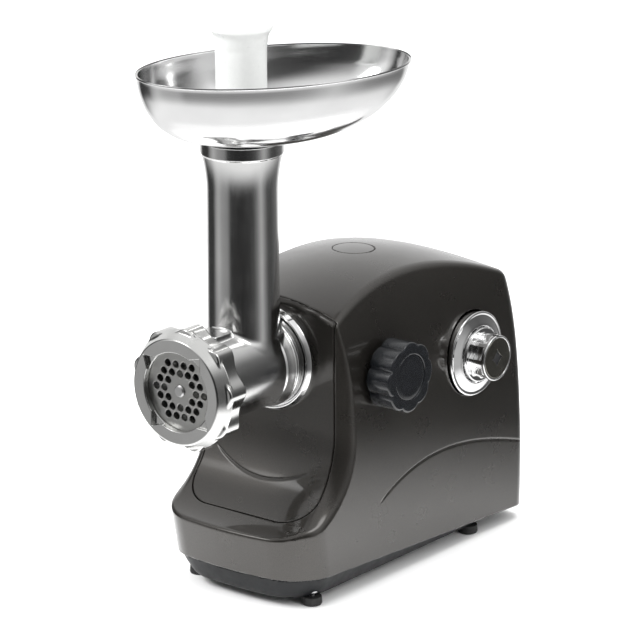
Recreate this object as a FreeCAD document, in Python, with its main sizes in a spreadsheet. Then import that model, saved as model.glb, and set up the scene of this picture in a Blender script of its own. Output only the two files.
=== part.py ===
import FreeCAD, Part
import math
import os
import Sketcher
from FreeCAD import Placement, Rotation, Vector

# Electric meat grinder.
# Machine frame: +Z up, table at z = 0, the worm's axis runs along Y at x = 0, and the
# cutting plate faces -Y. All pieces are drawn there, then shifted by origin_x, origin_y
# so that the part's origin is the bottom centre of its bounding box.

doc = FreeCAD.newDocument("meat_grinder")
sheet = doc.addObject("Spreadsheet::Sheet", "dims")
X_AXIS, Y_AXIS, Z_AXIS = Vector(1, 0, 0), Vector(0, 1, 0), Vector(0, 0, 1)


# ---------------------------------------------------------------- driving dimensions

class Size:
    """A number together with the spreadsheet formula that gives it."""

    def __init__(self, value, formula):
        self.value = float(value)
        self.formula = formula

    def _join(self, other, sign, value):
        return Size(value, "(%s %s %s)" % (self.formula, sign, formula_of(other)))

    def __add__(self, other):
        return self._join(other, "+", self.value + value_of(other))

    def __sub__(self, other):
        return self._join(other, "-", self.value - value_of(other))

    def __mul__(self, other):
        return self._join(other, "*", self.value * value_of(other))

    def __neg__(self):
        return Size(-self.value, "(0 - %s)" % self.formula)


def value_of(size):
    return size.value if isinstance(size, Size) else float(size)


def formula_of(size):
    return size.formula if isinstance(size, Size) else "%.6f" % size


class Dimensions:
    """The spreadsheet's cells, by alias."""

    def __init__(self, table):
        for row, (name, value, note) in enumerate(table, start=1):
            sheet.set("A%d" % row, note)
            sheet.set("B%d" % row, str(value))
            sheet.setAlias("B%d" % row, name)
            setattr(self, name, Size(value, "dims." + name))


d = Dimensions([
    ("origin_x", -10.63, "shift of the machine frame to the part's origin"),
    ("origin_y", 10.2, "shift of the machine frame to the part's origin"),
    ("axis_height", 163.0, "head axis above the table"),
    ("wall", 2.6, "moulded wall thickness"),
    ("panel_gap", 0.35, "gap between neighbouring panels"),
    ("running", 0.05, "radial clearance of a running fit"),
    # head
    ("ring_front", -170.0, "front lip of the ring nut"),
    ("ring_back", -147.0, "back end of the ring nut"),
    ("ring_opening", 27.3, "radius of the ring nut's opening"),
    ("ring_lip", 4.7, "thickness of the ring nut's front lip"),
    ("plate_radius", 31.0, "cutting plate radius, size 8"),
    ("plate_front", -165.0, "front face of the cutting plate"),
    ("plate_thickness", 5.0, "cutting plate thickness"),
    ("plate_pitch", 6.9, "pitch of the plate's holes"),
    ("plate_hole", 2.6, "radius of the plate's holes"),
    ("bell_radius", 35.0, "barrel's threaded front end"),
    ("barrel_radius", 30.4, "outside radius of the barrel"),
    ("bore_radius", 26.0, "bore for the worm"),
    ("flange_radius", 32.6, "rear flange of the head"),
    ("flange_back", -71.0, "back face of the head's flange"),
    ("shank_radius", 27.0, "shank that plugs into the machine"),
    ("shank_end", -12.0, "rear end of the shank"),
    ("tube_y", -97.5, "feed tube axis"),
    ("tube_radius", 24.0, "feed tube outside radius"),
    ("tube_bore", 20.0, "feed tube inside radius"),
    ("tube_top", 322.0, "top of the feed tube"),
    ("collar_radius", 28.2, "collar at the top of the feed tube"),
    ("journal_radius", 10.0, "worm's rear journal"),
    ("pin_radius", 4.2, "worm's front pin in the cutting plate"),
    ("tang_half", 4.9, "half width of the square drive tang"),
    ("worm_radius", 25.3, "outside radius of the worm"),
    # tray and pusher
    ("tray_rim_z", 370.0, "rim of the tray above the table"),
    ("tray_half_length", 95.5, "half length of the oval tray"),
    ("tray_half_width", 59.0, "half width of the oval tray"),
    ("tray_offset", 23.4, "oval's centre from the feed tube's axis"),
    ("tray_turn", 60.0, "direction of the tray's long axis from +X"),
    ("tray_wall", 1.2, "tray sheet thickness"),
    ("spout_radius", 19.5, "tray spout, which drops into the feed tube"),
    ("pusher_radius", 17.4, "pusher stem"),
    ("pusher_lip", 21.8, "pusher's top lip"),
    ("pusher_top", 404.0, "top of the pusher above the table"),
    ("pusher_bottom", 195.0, "bottom of the pusher above the table"),
    # housing
    ("half_width", 64.8, "half width of the housing"),
    ("face_y", -68.0, "flat front face behind the head"),
    ("panel_half", 54.0, "half width of the front panel"),
    ("lip_y", -124.5, "front lip of the apron"),
    ("lip_z", 53.5, "height of the apron's lip"),
    ("rear_y", 149.0, "foot of the rear wall"),
    ("seam_height", 17.0, "seam between the housing and the base, at y = 0"),
    ("seam_slope", 0.05, "fall of the seam per millimetre towards the rear"),
    ("base_bottom", 6.0, "underside of the base plate"),
    ("foot_radius", 7.0, "rubber foot"),
    ("foot_x", 50.0, "feet across the machine"),
    ("foot_front", -88.0, "front feet"),
    ("foot_rear", 92.0, "rear feet"),
    ("escutcheon_outer", 37.7, "chrome ring round the head"),
    ("badge_radius", 14.5, "round badge in the top"),
    ("badge_y", 23.0, "badge centre"),
    # controls
    ("lock_y", -24.0, "lock screw axis"),
    ("lock_z", 153.0, "lock screw axis above the table"),
    ("lock_knob_radius", 25.0, "lock knob outside radius"),
    ("lock_knob_face", 86.0, "lock knob's front face"),
    ("lock_screw_radius", 5.0, "lock screw"),
    ("switch_y", 78.0, "switch axis"),
    ("switch_z", 141.0, "switch axis above the table"),
    ("switch_dish", 30.3, "switch escutcheon radius"),
    ("switch_knob_radius", 16.3, "switch knob radius"),
    ("switch_face", 85.0, "switch knob's front face"),
    # drive train
    ("gear_module", 1.0, "gear module"),
    ("output_teeth", 64, "output gear"),
    ("pinion_b_teeth", 16, "pinion on the second intermediate gear"),
    ("wheel_b_teeth", 56, "wheel on the second intermediate gear"),
    ("pinion_a_teeth", 14, "pinion on the first intermediate gear"),
    ("wheel_a_teeth", 60, "wheel on the first intermediate gear"),
    ("motor_teeth", 12, "motor pinion"),
    ("gear_pin", 3.5, "radius of the fixed gear pins"),
    ("output_shaft", 12.0, "output shaft radius in its bush"),
    ("motor_shaft", 3.0, "motor shaft radius"),
    ("rotor_radius", 21.0, "armature radius"),
    ("stator_radius", 36.0, "stator outside radius"),
])
doc.recompute()

parts = []


# ---------------------------------------------------------------- building helpers

def bind(thing, prop, size):
    """Set a property from a size, and keep it bound to the spreadsheet."""
    if isinstance(size, Size):
        thing.setExpression(prop, size.formula)
    else:
        setattr(thing, prop, size)


def place(thing, x=0.0, y=0.0, z=0.0, rotation=None, local=False):
    """Put an object in the machine frame; local leaves out the shift to the origin."""
    thing.Placement = Placement(Vector(0, 0, 0), rotation or Rotation())
    shift = (0.0, 0.0, 0.0) if local else (d.origin_x, d.origin_y, 0.0)
    for axis, offset, origin in zip("xyz", (x, y, z), shift):
        total = origin + offset if isinstance(origin, Size) else offset
        thing.setExpression("Placement.Base." + axis, formula_of(total))
    return thing


def keep(thing, label):
    """Give a finished sub-part its own name."""
    thing.Label = label
    parts.append(thing)
    return thing


def origin_plane(body, role):
    return [item for item in body.Origin.OriginFeatures if item.Role == role][0]


def sketch(body, role, points, name):
    """A closed outline whose corners are all held by spreadsheet dimensions."""
    drawn = body.newObject("Sketcher::SketchObject", name)
    drawn.AttachmentSupport = (origin_plane(body, role), [""])
    drawn.MapMode = "FlatFace"
    corners = [Vector(value_of(u), value_of(v), 0) for u, v in points]
    count = len(corners)
    for i in range(count):
        drawn.addGeometry(Part.LineSegment(corners[i], corners[(i + 1) % count]), False)
    for i in range(count):
        drawn.addConstraint(Sketcher.Constraint("Coincident", i, 2, (i + 1) % count, 1))
    for i, (u, v) in enumerate(points):
        for kind, size in (("DistanceX", u), ("DistanceY", v)):
            index = drawn.addConstraint(Sketcher.Constraint(kind, -1, 1, i, 1, value_of(size)))
            if isinstance(size, Size):
                drawn.setExpression("Constraints[%d]" % index, size.formula)
    return drawn


TURNING = {"X": ("XZ_Plane", "H_Axis"), "Y": ("YZ_Plane", "H_Axis"), "Z": ("XZ_Plane", "V_Axis")}


def turned(name, axis, points):
    """A turned piece. Points are (along the axis, radius)."""
    body = doc.addObject("PartDesign::Body", name)
    role, line = TURNING[axis]
    if axis == "Z":
        points = [(radius, along) for along, radius in points]
    outline = sketch(body, role, points, name + "_outline")
    turn = body.newObject("PartDesign::Revolution", name + "_turn")
    turn.Profile = (outline, [])
    turn.ReferenceAxis = (outline, [line])
    turn.Angle = 360
    return body


def soften(body, radius, chosen, chamfer=False):
    """Round or chamfer the edges that the test picks."""
    doc.recompute()
    base = body.Tip
    names = ["Edge%d" % (i + 1) for i, edge in enumerate(base.Shape.Edges) if chosen(edge)]
    kind = "Chamfer" if chamfer else "Fillet"
    feature = body.newObject("PartDesign::" + kind, "%s_%s" % (body.Name, kind.lower()))
    feature.Base = (base, names)
    bind(feature, "Size" if chamfer else "Radius", radius)
    return body


def circle_at(axis, along, radius, slack=0.02):
    """A test for the circular edge at a place along an axis and of a given radius."""
    def chosen(edge):
        curve = edge.Curve
        if not isinstance(curve, Part.Circle):
            return False
        where = getattr(curve.Center, axis.lower())
        return abs(where - value_of(along)) < slack and abs(curve.Radius - value_of(radius)) < slack
    return chosen


def any_of(*tests):
    return lambda edge: any(test(edge) for test in tests)


def cylinder(name, radius, length, x=0.0, y=0.0, z=0.0, axis="Z", local=True):
    thing = doc.addObject("Part::Cylinder", name)
    bind(thing, "Radius", radius)
    bind(thing, "Height", length)
    turn = {"X": Rotation(Y_AXIS, 90), "Y": Rotation(X_AXIS, -90), "Z": Rotation()}[axis]
    return place(thing, x, y, z, turn, local)


def box(name, length, width, height, x, y, z, local=True):
    thing = doc.addObject("Part::Box", name)
    bind(thing, "Length", length)
    bind(thing, "Width", width)
    bind(thing, "Height", height)
    return place(thing, x, y, z, None, local)


def joined(name, things):
    union = doc.addObject("Part::MultiFuse", name)
    union.Shapes = things
    return union


def cut(name, base, tools):
    """Base less its tools."""
    tool = tools[0] if len(tools) == 1 else joined(name + "_tools", tools)
    result = doc.addObject("Part::Cut", name)
    result.Base = base
    result.Tool = tool
    return result


def feature(name, shape):
    """A sub-part or tool whose shape comes from Part's own functions."""
    thing = doc.addObject("Part::Feature", name)
    thing.Shape = shape
    return thing


def polygon_face(points):
    return Part.Face(Part.makePolygon(points + points[:1]))


# ---------------------------------------------------------------- housing surfaces

PLAN_FRONT = 121.0
PLAN_CORNER = ((45.0, -121.0), (58.5, -110.5), (64.8, -88.0))
CROWN = ((-76.0, 203.0, 9.5), (-40.0, 213.0, 7.0), (0.0, 219.0, 6.6), (40.0, 218.5, 7.0),
         (80.0, 210.5, 6.0), (115.0, 197.5, 3.6), (160.0, 174.0, 3.0))
MID_TOE = (-104.0, 60.0)
SIDE_TOE = (-92.0, 58.0)
SIDE_FACE = -57.0
MID_TURN_Z = 118.0
SIDE_TURN_Z = 112.0
PANEL_EDGE = 55.0


def side_profile(x, inset, face, turn_z, toe):
    """The housing seen from the side: lip, scooped apron, front face and raked rear wall."""
    toe_y, toe_z = toe[0], toe[1] - inset
    top = Vector(x, face + inset, turn_z)
    run, rise = top.y - toe_y, turn_z - toe_z
    radius = (run * run + rise * rise) / (2 * run)
    centre = Vector(x, top.y - radius, turn_z)
    half = math.asin(rise / radius) / 2
    middle = centre + Vector(0, radius * math.cos(half), -radius * math.sin(half))
    toe_point = Vector(x, toe_y, toe_z)
    lip = Vector(x, d.lip_y.value + inset, d.lip_z.value - inset)
    rear = d.rear_y.value - inset
    corners = [Vector(x, rear, 5), Vector(x, rear - 4.5, 88), Vector(x, rear - 13, 166)]
    shoulder = Vector(x, rear - 17.5, 182)
    last = Vector(x, rear - 30, 197)
    edges = [
        Part.makeLine(Vector(x, d.lip_y.value + 7.5 + inset, 5), lip),
        Part.makeLine(lip, toe_point),
        Part.Arc(toe_point, middle, top).toShape(),
        Part.makeLine(top, Vector(x, top.y, 250)),
        Part.makeLine(Vector(x, top.y, 250), Vector(x, last.y, 250)),
        Part.makeLine(Vector(x, last.y, 250), last),
        Part.Arc(last, shoulder, corners[2]).toShape(),
        Part.Arc(corners[2], corners[1], corners[0]).toShape(),
        Part.makeLine(corners[0], Vector(x, d.lip_y.value + 7.5 + inset, 5)),
    ]
    return Part.Wire(edges)


def plan_wire(z, inset):
    """The housing seen from above: bowed front, rounded corners and flat flanks."""
    scale = (d.half_width.value - inset) / d.half_width.value
    (ax, ay), (bx, by), (cx, cy) = [(px * scale, py + inset) for px, py in PLAN_CORNER]
    rear_side, rear_x, rear_y = 133.5 - inset, 51.5 * scale, 147.0 - inset
    mid_x, mid_y = 60.9 * scale, 143.1 - inset
    edges = [
        Part.Arc(Vector(-ax, ay, z), Vector(0, d.lip_y.value + inset, z), Vector(ax, ay, z)).toShape(),
        Part.Arc(Vector(ax, ay, z), Vector(bx, by, z), Vector(cx, cy, z)).toShape(),
        Part.makeLine(Vector(cx, cy, z), Vector(cx, rear_side, z)),
        Part.Arc(Vector(cx, rear_side, z), Vector(mid_x, mid_y, z), Vector(rear_x, rear_y, z)).toShape(),
        Part.Arc(Vector(rear_x, rear_y, z), Vector(0, rear_y + 2.5, z), Vector(-rear_x, rear_y, z)).toShape(),
        Part.Arc(Vector(-rear_x, rear_y, z), Vector(-mid_x, mid_y, z), Vector(-cx, rear_side, z)).toShape(),
        Part.makeLine(Vector(-cx, rear_side, z), Vector(-cx, cy, z)),
        Part.Arc(Vector(-cx, cy, z), Vector(-bx, by, z), Vector(-ax, ay, z)).toShape(),
    ]
    return Part.Wire(edges)


def flank_section(inset):
    """The housing seen from the front: bulged flanks that lean in towards the top edge."""
    def flank(side):
        low = Vector(side * (62.4 - inset), -200, 0)
        mid = Vector(side * (64.7 - inset), -200, 95)
        high = Vector(side * (63.2 - inset), -200, 152)
        lean = Vector(side * (59.6 - inset), -200, 183)
        top = Vector(side * (49.5 - inset), -200, 210)
        past = Vector(side * (40.0 - inset), -200, 250)
        return [Part.Arc(low, mid, high).toShape(), Part.Arc(high, lean, top).toShape(),
                Part.makeLine(top, past)], low, past
    right, low_right, past_right = flank(1)
    left, low_left, past_left = flank(-1)
    edges = right + left
    edges.append(Part.makeLine(past_right, past_left))
    edges.append(Part.makeLine(low_left, low_right))
    outline = Part.Wire(Part.__sortEdges__(edges))
    return Part.Face(outline).extrude(Vector(0, 400, 0))


def crown_solid(inset):
    """Everything below the crowned top surface."""
    wires = []
    reach = 80.0
    for y, height, sag in CROWN:
        drop = sag * (reach / 50.0) ** 2
        left = Vector(-reach, y, height - drop - inset)
        right = Vector(reach, y, height - drop - inset)
        arch = Part.Arc(left, Vector(0, y, height - inset), right).toShape()
        wires.append(Part.Wire([
            Part.makeLine(Vector(-reach, y, 0), left),
            arch,
            Part.makeLine(right, Vector(reach, y, 0)),
            Part.makeLine(Vector(reach, y, 0), Vector(-reach, y, 0)),
        ]))
    return Part.makeLoft(wires, True, False)


def lower_block(inset):
    front = d.lip_y.value - 10
    return Part.makeBox(200, 60, 120, Vector(-100, front, 0)).fuse(crown_solid(inset)).removeSplitter()


def envelope(inset):
    """The housing's solid form, with every surface moved inwards by inset."""
    middle = side_profile(-PANEL_EDGE, inset, d.face_y.value, MID_TURN_Z, MID_TOE)
    form = Part.Face(middle).extrude(Vector(2 * PANEL_EDGE, 0, 0))
    for side in (-1, 1):
        near = side_profile(side * PANEL_EDGE, inset, d.face_y.value, MID_TURN_Z, MID_TOE)
        far = side_profile(side * 66.0, inset, SIDE_FACE, SIDE_TURN_Z, SIDE_TOE)
        form = form.fuse(Part.makeLoft([near, far], True, True))
    form = form.removeSplitter()
    plan = Part.Face(plan_wire(0, inset)).extrude(Vector(0, 0, 260))
    return form.common(plan).common(flank_section(inset)).common(lower_block(inset))


def seam_block(offset, above):
    """All space above or below the seam plane, moved up by offset."""
    slope, height = d.seam_slope.value, d.seam_height.value + offset
    near, far = -180.0, 200.0
    limit = 300.0 if above else -50.0
    points = [Vector(-120, near, height - slope * near), Vector(-120, far, height - slope * far),
              Vector(-120, far, limit), Vector(-120, near, limit)]
    return polygon_face(points).extrude(Vector(240, 0, 0))


def panel_tool(gap):
    """The U-shaped outline of the front panel, swept down and back at 45 degrees."""
    half, low, corner = d.panel_half.value + gap, -31.0 - gap, 24.0
    along = Vector(0, math.sqrt(0.5), -math.sqrt(0.5))
    up = Vector(0, math.sqrt(0.5), math.sqrt(0.5))
    start = along * -220.0

    def at(x, rise):
        return start + Vector(x, 0, 0) + up * rise

    bend = corner * (1 - math.sqrt(0.5))
    edges = [
        Part.makeLine(at(-half, 160), at(-half, low + corner)),
        Part.Arc(at(-half, low + corner), at(-half + bend, low + bend), at(-half + corner, low)).toShape(),
        Part.makeLine(at(-half + corner, low), at(half - corner, low)),
        Part.Arc(at(half - corner, low), at(half - bend, low + bend), at(half, low + corner)).toShape(),
        Part.makeLine(at(half, low + corner), at(half, 160)),
        Part.makeLine(at(half, 160), at(-half, 160)),
    ]
    swept = Part.Face(Part.Wire(edges)).extrude(along * 340.0)
    depth = d.face_y.value + d.wall.value + gap
    return swept.common(Part.makeBox(200, 200, 300, Vector(-100, depth - 200, 0)))


def turned_cut(radius, start, length, centre, axis):
    return Part.makeCylinder(value_of(radius), length, centre + axis * start, axis)


head_centre = Vector(0, 0, d.axis_height.value)
lock_centre = Vector(0, d.lock_y.value, d.lock_z.value)
switch_centre = Vector(0, d.switch_y.value, d.switch_z.value)
badge_centre = Vector(0, d.badge_y.value, 0)

outer = envelope(0.0)
skin = outer.cut(envelope(0.7))
shell = outer.cut(envelope(d.wall.value)).common(seam_block(0.0, True))


def head_groove():
    """A decorative groove in the apron, concentric with the head."""
    ring = turned_cut(84.4, -130, 65, head_centre, Y_AXIS).cut(turned_cut(83.7, -130, 65, head_centre, Y_AXIS))
    keep_box = Part.makeBox(84, 70, 80, Vector(-46, -130, 60))
    return skin.common(ring).common(keep_box)


def flank_groove():
    """The swoosh groove on each flank."""
    points = [(-29, 60), (-10, 69.5), (13, 76), (37, 79), (66, 77.5), (100, 71), (133, 61.5)]
    low = Part.BSplineCurve()
    low.interpolate([Vector(0, y, z) for y, z in points])
    high = Part.BSplineCurve()
    high.interpolate([Vector(0, y, z + 0.9) for y, z in points])
    ends = [Part.makeLine(Vector(0, y, z), Vector(0, y, z + 0.9)) for y, z in (points[0], points[-1])]
    band = Part.Face(Part.Wire([low.toShape(), ends[1], high.toShape(), ends[0]]))
    return skin.common(band.extrude(Vector(75, 0, 0)).fuse(band.extrude(Vector(-75, 0, 0))))


def vent_slots(count, pitch, width, height, y, z):
    slots = []
    for i in range(count):
        x = (i - (count - 1) / 2) * pitch
        slots.append(Part.makeBox(width, 30, height, Vector(x - width / 2, y, z)))
    return slots[0].multiFuse(slots[1:])


def housing_pieces():
    open_y = turned_cut(33.6, -90, 40, head_centre, Y_AXIS)
    panel = shell.common(panel_tool(0.0)).cut(open_y).cut(head_groove())
    gap = d.panel_gap.value
    body = shell.cut(panel_tool(gap)).cut(open_y)
    body = body.cut(turned_cut(7.0, 40, 40, lock_centre, X_AXIS))
    body = body.cut(turned_cut(d.switch_dish.value + 0.3, 50, 30, switch_centre, X_AXIS))
    badge_pocket = outer.cut(envelope(1.2)).common(turned_cut(14.9, 100, 200, badge_centre, Z_AXIS))
    body = body.cut(badge_pocket).cut(flank_groove())
    body = body.cut(vent_slots(9, 8.0, 3.2, 46.0, 125.0, 60.0))
    gland = Vector(-30, 0, 34)
    body = body.cut(turned_cut(9.1, 130, 30, gland, Y_AXIS))
    badge = outer.cut(envelope(1.1)).common(turned_cut(d.badge_radius, 100, 200, badge_centre, Z_AXIS))
    return body, panel, badge


main_housing_shape, front_panel_shape, badge_shape = housing_pieces()


def base_shape():
    outline = Part.makeLoft([plan_wire(d.base_bottom.value, 10.5), plan_wire(26, 1.6)], True, True)
    hollow = Part.makeLoft([plan_wire(d.base_bottom.value + 3, 13.5), plan_wire(30, 4.2)], True, True)
    tub = outline.cut(hollow).common(seam_block(-d.panel_gap.value, False))
    for i in range(7):
        tub = tub.cut(Part.makeBox(40, 3, 10, Vector(-20, 40 + 8 * i, 0)))
    for x in (-1, 1):
        for y in (d.foot_front.value, d.foot_rear.value):
            at = Vector(x * d.foot_x.value, y, 0)
            tub = tub.cut(turned_cut(2.1, 0, 20, at, Z_AXIS)).cut(turned_cut(4.5, 9.0, 3.0, at, Z_AXIS))
    return tub


for label, shape in (("main_housing", main_housing_shape), ("front_panel", front_panel_shape),
                     ("top_badge", badge_shape), ("base_plate", base_shape())):
    keep(place(feature(label, shape)), label)


def feet():
    group = []
    for side in (-1, 1):
        for y in (d.foot_front, d.foot_rear):
            x = d.foot_x * side
            foot = cylinder("foot_rubber", d.foot_radius, d.base_bottom, x, y)
            group.append(cut("foot", foot, [cylinder("foot_bore", 2.2, d.base_bottom, x, y)]))
    return joined("feet", group)


def foot_screws():
    group = []
    for side in (-1, 1):
        for y in (d.foot_front, d.foot_rear):
            x = d.foot_x * side
            group.append(joined("foot_screw", [cylinder("screw_stem", 2.0, 14, x, y, 2.5),
                                               cylinder("screw_head", 4.2, 2.4, x, y, d.base_bottom + 3.1)]))
    return joined("foot_screws", group)


keep(place(feet()), "rubber_feet")
keep(place(foot_screws()), "foot_screws")

# ---------------------------------------------------------------- head

escutcheon = turned("head_escutcheon", "Y", [
    (d.face_y - 0.1, 33.2), (d.face_y - 0.1, d.escutcheon_outer), (d.face_y - 4.2, d.escutcheon_outer - 0.6),
    (d.face_y - 6.6, d.escutcheon_outer - 2.4), (d.face_y - 6.6, d.escutcheon_outer - 3.2),
    (d.face_y - 4.6, d.escutcheon_outer - 3.6), (d.face_y - 4.6, 33.2)])
soften(escutcheon, 1.0, circle_at("Y", d.face_y - 4.2, d.escutcheon_outer - 0.6))
keep(place(escutcheon, 0, 0, d.axis_height), "head_escutcheon")

casting = turned("barrel_turned", "Y", [
    (-163.5, 31.3), (-163.5, d.bell_radius), (-146.0, d.bell_radius), (-137.0, d.barrel_radius),
    (-93.0, d.barrel_radius), (-88.5, 30.9), (-84.0, 31.9), (-80.5, d.flange_radius),
    (d.flange_back, d.flange_radius), (d.flange_back, d.shank_radius), (d.shank_end, d.shank_radius),
    (d.shank_end, 22.0), (-60.0, 22.0), (-60.0, d.journal_radius + d.running),
    (-82.0, d.journal_radius + d.running), (-82.0, d.bore_radius), (-151.0, d.bore_radius), (-151.0, 31.3)])
soften(casting, 1.2, any_of(circle_at("Y", d.flange_back, d.flange_radius),
                            circle_at("Y", -84.0, 31.9), circle_at("Y", -80.5, d.flange_radius)))
place(casting, 0, 0, d.axis_height, local=True)
tube = turned("feed_tube_turned", "Z", [
    (d.axis_height, 0.0), (d.axis_height, d.tube_radius + 0.6), (d.tube_top - 42.0, d.tube_radius),
    (d.tube_top - 24.0, d.tube_radius + 1.0), (d.tube_top - 14.0, d.tube_radius + 2.2),
    (d.tube_top - 9.0, d.collar_radius - 0.6), (d.tube_top, d.collar_radius), (d.tube_top, 0.0)])
soften(tube, 0.8, any_of(circle_at("Z", d.tube_top, d.collar_radius),
                         circle_at("Z", d.tube_top - 9.0, d.collar_radius - 0.6)))
place(tube, 0, d.tube_y, 0, local=True)
pad = box("barrel_pad", 20, 17, 32.4, -10, -140, d.axis_height, local=True)
peg = box("plate_peg", 2.6, 3.4, 2.6, -1.3, -163.4, d.axis_height + 29.0, local=True)
bore = cylinder("worm_bore", d.bore_radius, 69.0, 0, -151, d.axis_height, "Y")
knife_room = cylinder("knife_room", 31.3, 8.0, 0, -159.4, d.axis_height, "Y")
tube_bore = cylinder("tube_bore", d.tube_bore, 200, 0, d.tube_y, d.axis_height)
journal_bore = cylinder("journal_bore", d.journal_radius + d.running, 26.0, 0, -86.0, d.axis_height, "Y")
ring_room = cylinder("ring_room", d.escutcheon_outer + 0.5, 12.0, 0, -75.0, d.axis_height, "Y")
tube_outside = cut("tube_outside", tube, [bore, journal_bore, ring_room])
head_body = joined("head_solid", [casting, tube_outside, cut("pad_outside", pad, [
    cylinder("pad_bore", d.bore_radius, 69.0, 0, -151, d.axis_height, "Y")])])
head = cut("head_cut", head_body, [tube_bore])
keep(place(joined("head", [head, peg])), "head_casting")


def lobed_wire(count, middle, swing, y, phase):
    """A closed wavy outline with evenly spaced lobes, in a plane across Y."""
    steps = count * 8
    points = []
    for i in range(steps):
        angle = 2 * math.pi * i / steps
        wave = math.cos(count * angle)
        radius = middle + swing * (wave - 0.18 * (1 - wave * wave))
        points.append(Vector(radius * math.sin(angle + phase), y, radius * math.cos(angle + phase)))
    curve = Part.BSplineCurve()
    curve.interpolate(points, PeriodicFlag=True)
    return Part.Wire(curve.toShape())


def ring_nut_shape():
    front, back = d.ring_front.value, d.ring_back.value
    lobes = Part.Face(lobed_wire(9, 41.0, 2.3, front, math.radians(5))).extrude(Vector(0, back - front, 0))
    shoulder = Part.makeCone(36.2, 46.2, 7.0, Vector(0, front, 0), Y_AXIS)
    rest = Part.makeCylinder(46.2, 20, Vector(0, front + 7.0, 0), Y_AXIS)
    tail = Part.makeCone(46.2, 42.6, 2.4, Vector(0, back - 2.4, 0), Y_AXIS)
    body = lobes.common(shoulder.fuse(rest).cut(Part.makeCylinder(60, 4, Vector(0, back - 2.4, 0), Y_AXIS)).fuse(tail))
    opening = Part.makeCylinder(d.ring_opening.value, 40, Vector(0, front - 5, 0), Y_AXIS)
    inside = Part.makeCylinder(d.bell_radius.value + 0.35, 40, Vector(0, front + d.ring_lip.value, 0), Y_AXIS)
    body = body.cut(opening).cut(inside)
    for turn in (52, 142, 232, 322):
        inner, tip = d.ring_opening.value - 2.0, 34.4
        wedge = polygon_face([Vector(-6.6, front - 1, inner), Vector(6.6, front - 1, inner),
                              Vector(0, front - 1, tip)]).extrude(Vector(0, 3.6, 0))
        wedge.rotate(Vector(0, 0, 0), Y_AXIS, turn - 90)
        body = body.cut(wedge)
    return body


keep(place(feature("ring_nut", ring_nut_shape()), 0, 0, d.axis_height), "ring_nut")


def plate_holes():
    """Hexagonal grid of holes, seven rows, less the seven round the centre."""
    pitch, holes = d.plate_pitch.value, []
    for row in range(-3, 4):
        count = 7 - abs(row)
        for column in range(count):
            x = (column - (count - 1) / 2) * pitch
            z = row * pitch * math.sqrt(0.75)
            if math.hypot(x, z) > 1.5 * pitch:
                holes.append(Vector(x, d.plate_front.value - 1, z))
    return holes


plate_disc = turned("plate_disc", "Y", [
    (d.plate_front, d.pin_radius + d.running), (d.plate_front, d.plate_radius - 0.5),
    (d.plate_front + 0.5, d.plate_radius), (d.plate_front + d.plate_thickness, d.plate_radius),
    (d.plate_front + d.plate_thickness, d.pin_radius + d.running)])
hole_tools = [Part.makeCylinder(d.plate_hole.value, 8, where, Y_AXIS) for where in plate_holes()]
key_slot = Part.makeBox(3.6, 8, 6, Vector(-1.8, d.plate_front.value - 1, 28.4))
plate_tool = feature("plate_tool", hole_tools[0].multiFuse(hole_tools[1:] + [key_slot]))
keep(place(cut("plate", plate_disc, [plate_tool]), 0, 0, d.axis_height), "cutting_plate")

# ---------------------------------------------------------------- worm and knife


def worm_shape():
    """Tapered core, helical flight, rear journal, square drive tang and front pin."""
    front, back = -152.0, -84.0
    core = Part.makeCone(13.0, 17.0, back - front, Vector(0, front, 0), Y_AXIS)
    turns, pitch = 2.6, 25.0
    helix = Part.makeHelix(pitch, turns * pitch, 15.0, 0)
    helix.rotate(Vector(0, 0, 0), X_AXIS, -90)
    helix.translate(Vector(0, front + 1.6, 0))
    start = front + 1.6
    reach = d.worm_radius.value
    flight_face = Part.makePolygon([Vector(8, start - 2.6, 0), Vector(reach, start - 1.1, 0),
                                    Vector(reach, start + 1.1, 0), Vector(8, start + 2.6, 0),
                                    Vector(8, start - 2.6, 0)])
    flight = Part.Wire(helix).makePipeShell([flight_face], True, True)
    trim = Part.makeCylinder(40, back - front, Vector(0, front, 0), Y_AXIS)
    body = core.fuse(flight.common(trim))
    journal = Part.makeCylinder(d.journal_radius.value, 24.0, Vector(0, back, 0), Y_AXIS)
    collar = Part.makeCylinder(20.0, 1.7, Vector(0, back, 0), Y_AXIS)
    shaft = Part.makeCylinder(8.0, 48.5, Vector(0, -60.5, 0), Y_AXIS)
    half = d.tang_half.value
    tang = Part.makeBox(2 * half, 14, 2 * half, Vector(-half, -12.2, -half))
    square = Part.makeBox(2 * half, 8.0, 2 * half, Vector(-half, -159.9, -half))
    pin = Part.makeCylinder(d.pin_radius.value, 10.0, Vector(0, -165.8, 0), Y_AXIS)
    tip = Part.makeCone(3.2, d.pin_radius.value, 0.9, Vector(0, -166.7, 0), Y_AXIS)
    return body.multiFuse([journal, collar, shaft, tang, square, pin, tip]).removeSplitter()


keep(place(feature("worm", worm_shape()), 0, 0, d.axis_height), "auger")

hub = cylinder("knife_hub", 10.5, 5.0, 0, -159.7, 0, "Y")
blades = []
for quarter in range(4):
    blade = doc.addObject("Part::Wedge", "knife_blade")
    blade.Xmin, blade.Xmax, blade.X2min, blade.X2max = -4.0, 4.0, -4.0, 0.5
    blade.Ymin, blade.Ymax = 0.0, 21.0
    blade.Zmin, blade.Zmax, blade.Z2min, blade.Z2max = 0.0, 4.2, 0.0, 4.2
    turn = Rotation(Y_AXIS, 90 * quarter).multiply(Rotation(X_AXIS, 90))
    blade.Placement = Placement(Rotation(Y_AXIS, 90 * quarter).multVec(Vector(0, -155.3, 7.0)), turn)
    blades.append(blade)
knife_square = box("knife_square", 9.9, 8.0, 9.9, -4.95, -161.0, -4.95)
knife = cut("knife", joined("knife_solid", [hub] + blades), [knife_square])
keep(place(knife, 0, 0, d.axis_height), "knife")

# ---------------------------------------------------------------- tray and pusher


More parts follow.
